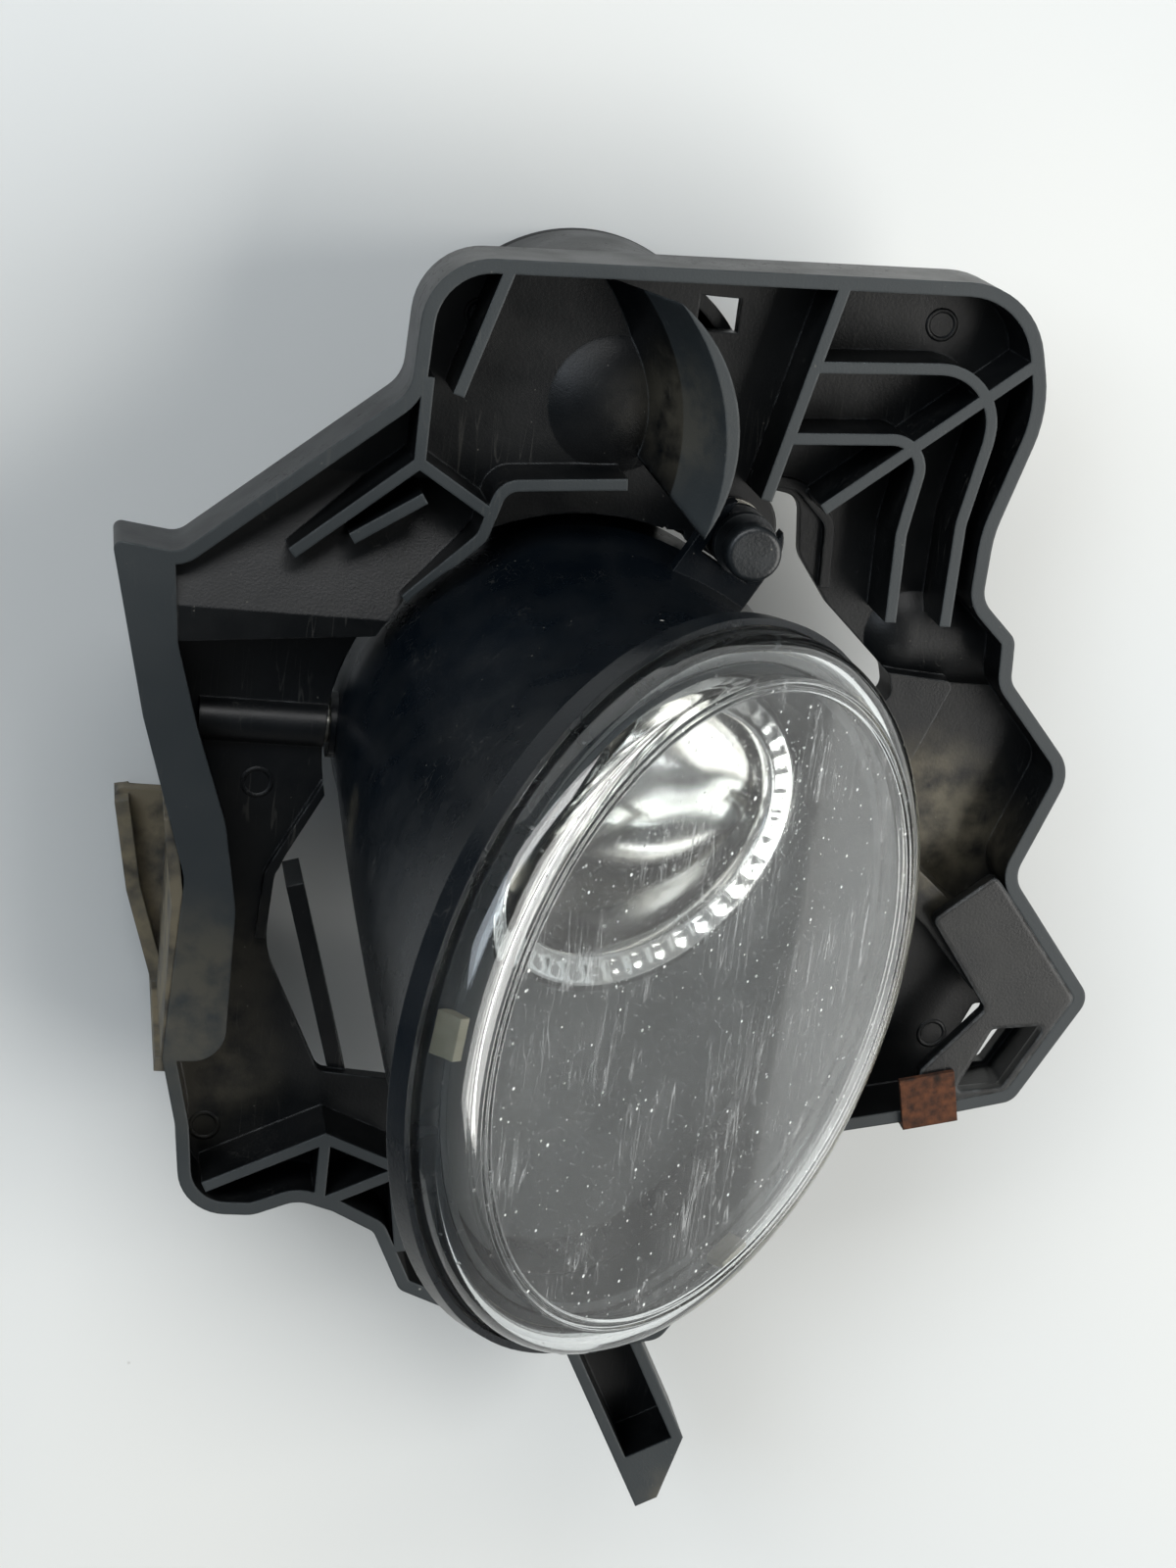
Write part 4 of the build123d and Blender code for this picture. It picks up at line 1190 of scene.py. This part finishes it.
@dataclass
class Adjuster:
    """The beam height adjuster: threaded screw, wheel, retaining ring, nut and cap."""

    shank_mm: float = 2.1
    collar_mm: float = 4.2
    pitch_mm: float = 1.5
    groove_mm: float = 0.35
    collar_above_mm: float = 6.0
    collar_height_mm: float = 1.0
    bevel_mm: float = 0.15
    steps: int = 48

    def screw(self) -> bpy.types.Object:
        """The screw with its thrust collar and a helical thread.

        Below the collar the radius follows a turned profile. Above it the radius is
        shank - groove * w, where w is a raised cosine of 2 pi (z / pitch) - angle.
        """
        low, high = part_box("adjuster_screw")
        centre = (low + high) / 2
        bottom, top = low.z / MM, high.z / MM
        under = bottom + self.collar_above_mm
        over = under + self.collar_height_mm
        bevel = self.bevel_mm
        lower = np.array([[0.0, bottom], [self.shank_mm - 2 * bevel, bottom],
                          [self.shank_mm, bottom + 2 * bevel], [self.shank_mm, under],
                          [self.collar_mm - bevel, under], [self.collar_mm, under + bevel],
                          [self.collar_mm, over - bevel], [self.collar_mm - bevel, over],
                          [self.shank_mm, over]])
        plain = turned(lower, self.steps)
        angle = np.linspace(0, 2 * np.pi, self.steps, endpoint=False)[None, :]
        height = np.linspace(over + 0.2, top - 0.4, 200)[:, None]
        wave = 0.5 + 0.5 * np.cos(2 * np.pi * height / self.pitch_mm - angle)
        radius = self.shank_mm - self.groove_mm * wave ** 2
        thread = np.stack([radius * np.cos(angle), radius * np.sin(angle), height + 0 * angle], -1)
        end = turned(np.array([[self.shank_mm - 0.5, top], [0.0, top]]), self.steps)
        points = np.concatenate([plain, thread, end]) * MM
        points[..., :2] += np.array([centre.x, centre.y])
        piece = mesh_piece("adjuster_threaded_screw", points,
                           grid_faces(points.shape[0], self.steps, Closing.COLUMNS))
        material = PlatedMetal("steel_rolled_zinc_screw", "#b4b3aa", "#6e6a5f", 0.3).material()
        return settle(piece, Body.SCREW, material, ["adjuster_screw"])

    def build(self) -> None:
        """Build the screw and dress the rest."""
        self.screw()
        dress(["adjuster_clip"], PlatedMetal(
            "spring_steel_zinc_ring", "#aaa9a2", "#6a675f", 0.3).material())
        dress(["adjuster_wheel", "adjuster_cap", "adjuster_nut"], SoftOrNylon(
            "nylon_moulded_black", "#0f1316", "#1c2124", 0.33, 0.4).material())


@dataclass
class Bulb:
    """The halogen bulb: glass, filament, posts, collar, seal and connector base."""

    glass_mm: float = 5.2
    wall_mm: float = 0.8
    round_mm: float = 4.0
    stem_mm: float = 5.0
    glass_steps: int = 64
    coil_mm: float = 0.45
    wire_mm: float = 0.09
    turns: float = 13.0
    coil_steps: int = 18
    coil_sides: int = 8

    def glass(self) -> bpy.types.Object:
        """The glass: a tube closed by a round top, turned from one section with its wall."""
        low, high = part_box("bulb_glass")
        centre = (low + high) / 2
        bottom, top = low.z / MM, high.z / MM
        outside = np.concatenate([
            [[0.0, bottom], [self.glass_mm - 0.3, bottom], [self.glass_mm, bottom + 0.3]],
            arc((self.glass_mm - self.round_mm, top - self.round_mm), self.round_mm, 0.0, 90.0, 14),
            [[0.0, top]]])
        inner, roof = self.glass_mm - self.wall_mm, top - self.wall_mm
        bend, stem = self.round_mm - self.wall_mm, bottom + self.stem_mm
        inside = np.concatenate([
            [[0.0, roof]], arc((inner - bend, roof - bend), bend, 90.0, 0.0, 12),
            [[inner, stem + 0.4], [inner - 0.6, stem], [0.0, stem]]])
        steps = self.glass_steps
        shells = [turned(part, steps) * MM for part in (outside, inside)]
        faces = [grid_faces(len(part), steps, Closing.COLUMNS) for part in (outside, inside)]
        points = np.concatenate([shell.reshape(-1, 3) for shell in shells])
        points[:, :2] += np.array([centre.x, centre.y])
        faces[1] = faces[1] + len(outside) * steps
        piece = mesh_piece("bulb_glass_shell", points, np.concatenate(faces))
        material = DrawnGlass().material(high.z)
        return settle(piece, Body.BULB, material, ["bulb_glass"])

    def coil(self) -> bpy.types.Object:
        """The filament: a thin tube carried along a helix between the posts.

        The path is (x, r cos a, r sin a), with x growing evenly with the angle a.
        """
        low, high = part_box("filament")
        centre = (low + high) / 2
        angle = np.linspace(0, 2 * np.pi * self.turns, int(self.turns * self.coil_steps))
        along = np.linspace(low.x + 0.2 * MM, high.x - 0.2 * MM, len(angle))
        path = np.stack([along, centre.y + self.coil_mm * MM * np.cos(angle),
                         centre.z + self.coil_mm * MM * np.sin(angle)], axis=1)
        radius = np.full(len(path), self.wire_mm * MM)
        radius[[0, -1]] = 0.0
        rings = tube(path, radius, self.coil_sides)
        piece = mesh_piece("filament_coil", rings,
                           grid_faces(len(path), self.coil_sides, Closing.COLUMNS))
        material = PlatedMetal("tungsten_wound", "#77756f", "#4e4c48", 0.4).material()
        return settle(piece, Body.BULB, material, ["filament"])

    def build(self) -> None:
        """Build the glass and the coil and dress the rest."""
        self.glass()
        self.coil()
        dress(["bulb_base"], MouldedPolypropylene(
            "polyphenylene_moulded_grey", "#33373b", "#3d4145", roughness=0.5, film=0.05,
            speck_amount=0.2).material())
        dress(["bulb_seal"], SoftOrNylon(
            "silicone_moulded_seal", "#4a4a4b", "#5f5f60", 0.6).material())
        dress(["bulb_collar", "bulb_terminals", "filament_posts"], PlatedMetal(
            "steel_stamped_nickel", "#bcb6aa", "#7f7b72", 0.28).material())


def main() -> None:
    """Build the studio and the sub-assemblies."""
    logging.basicConfig(level=logging.INFO, format="%(name)s: %(message)s")
    Studio().build()
    axes = LensAxes()
    Carrier().build()
    Housing().dress()
    ReflectorBowl(axes).build()
    Lens(axes).build()
    Adjuster().build()
    Bulb().build()


if __name__ == "__main__":
    main()
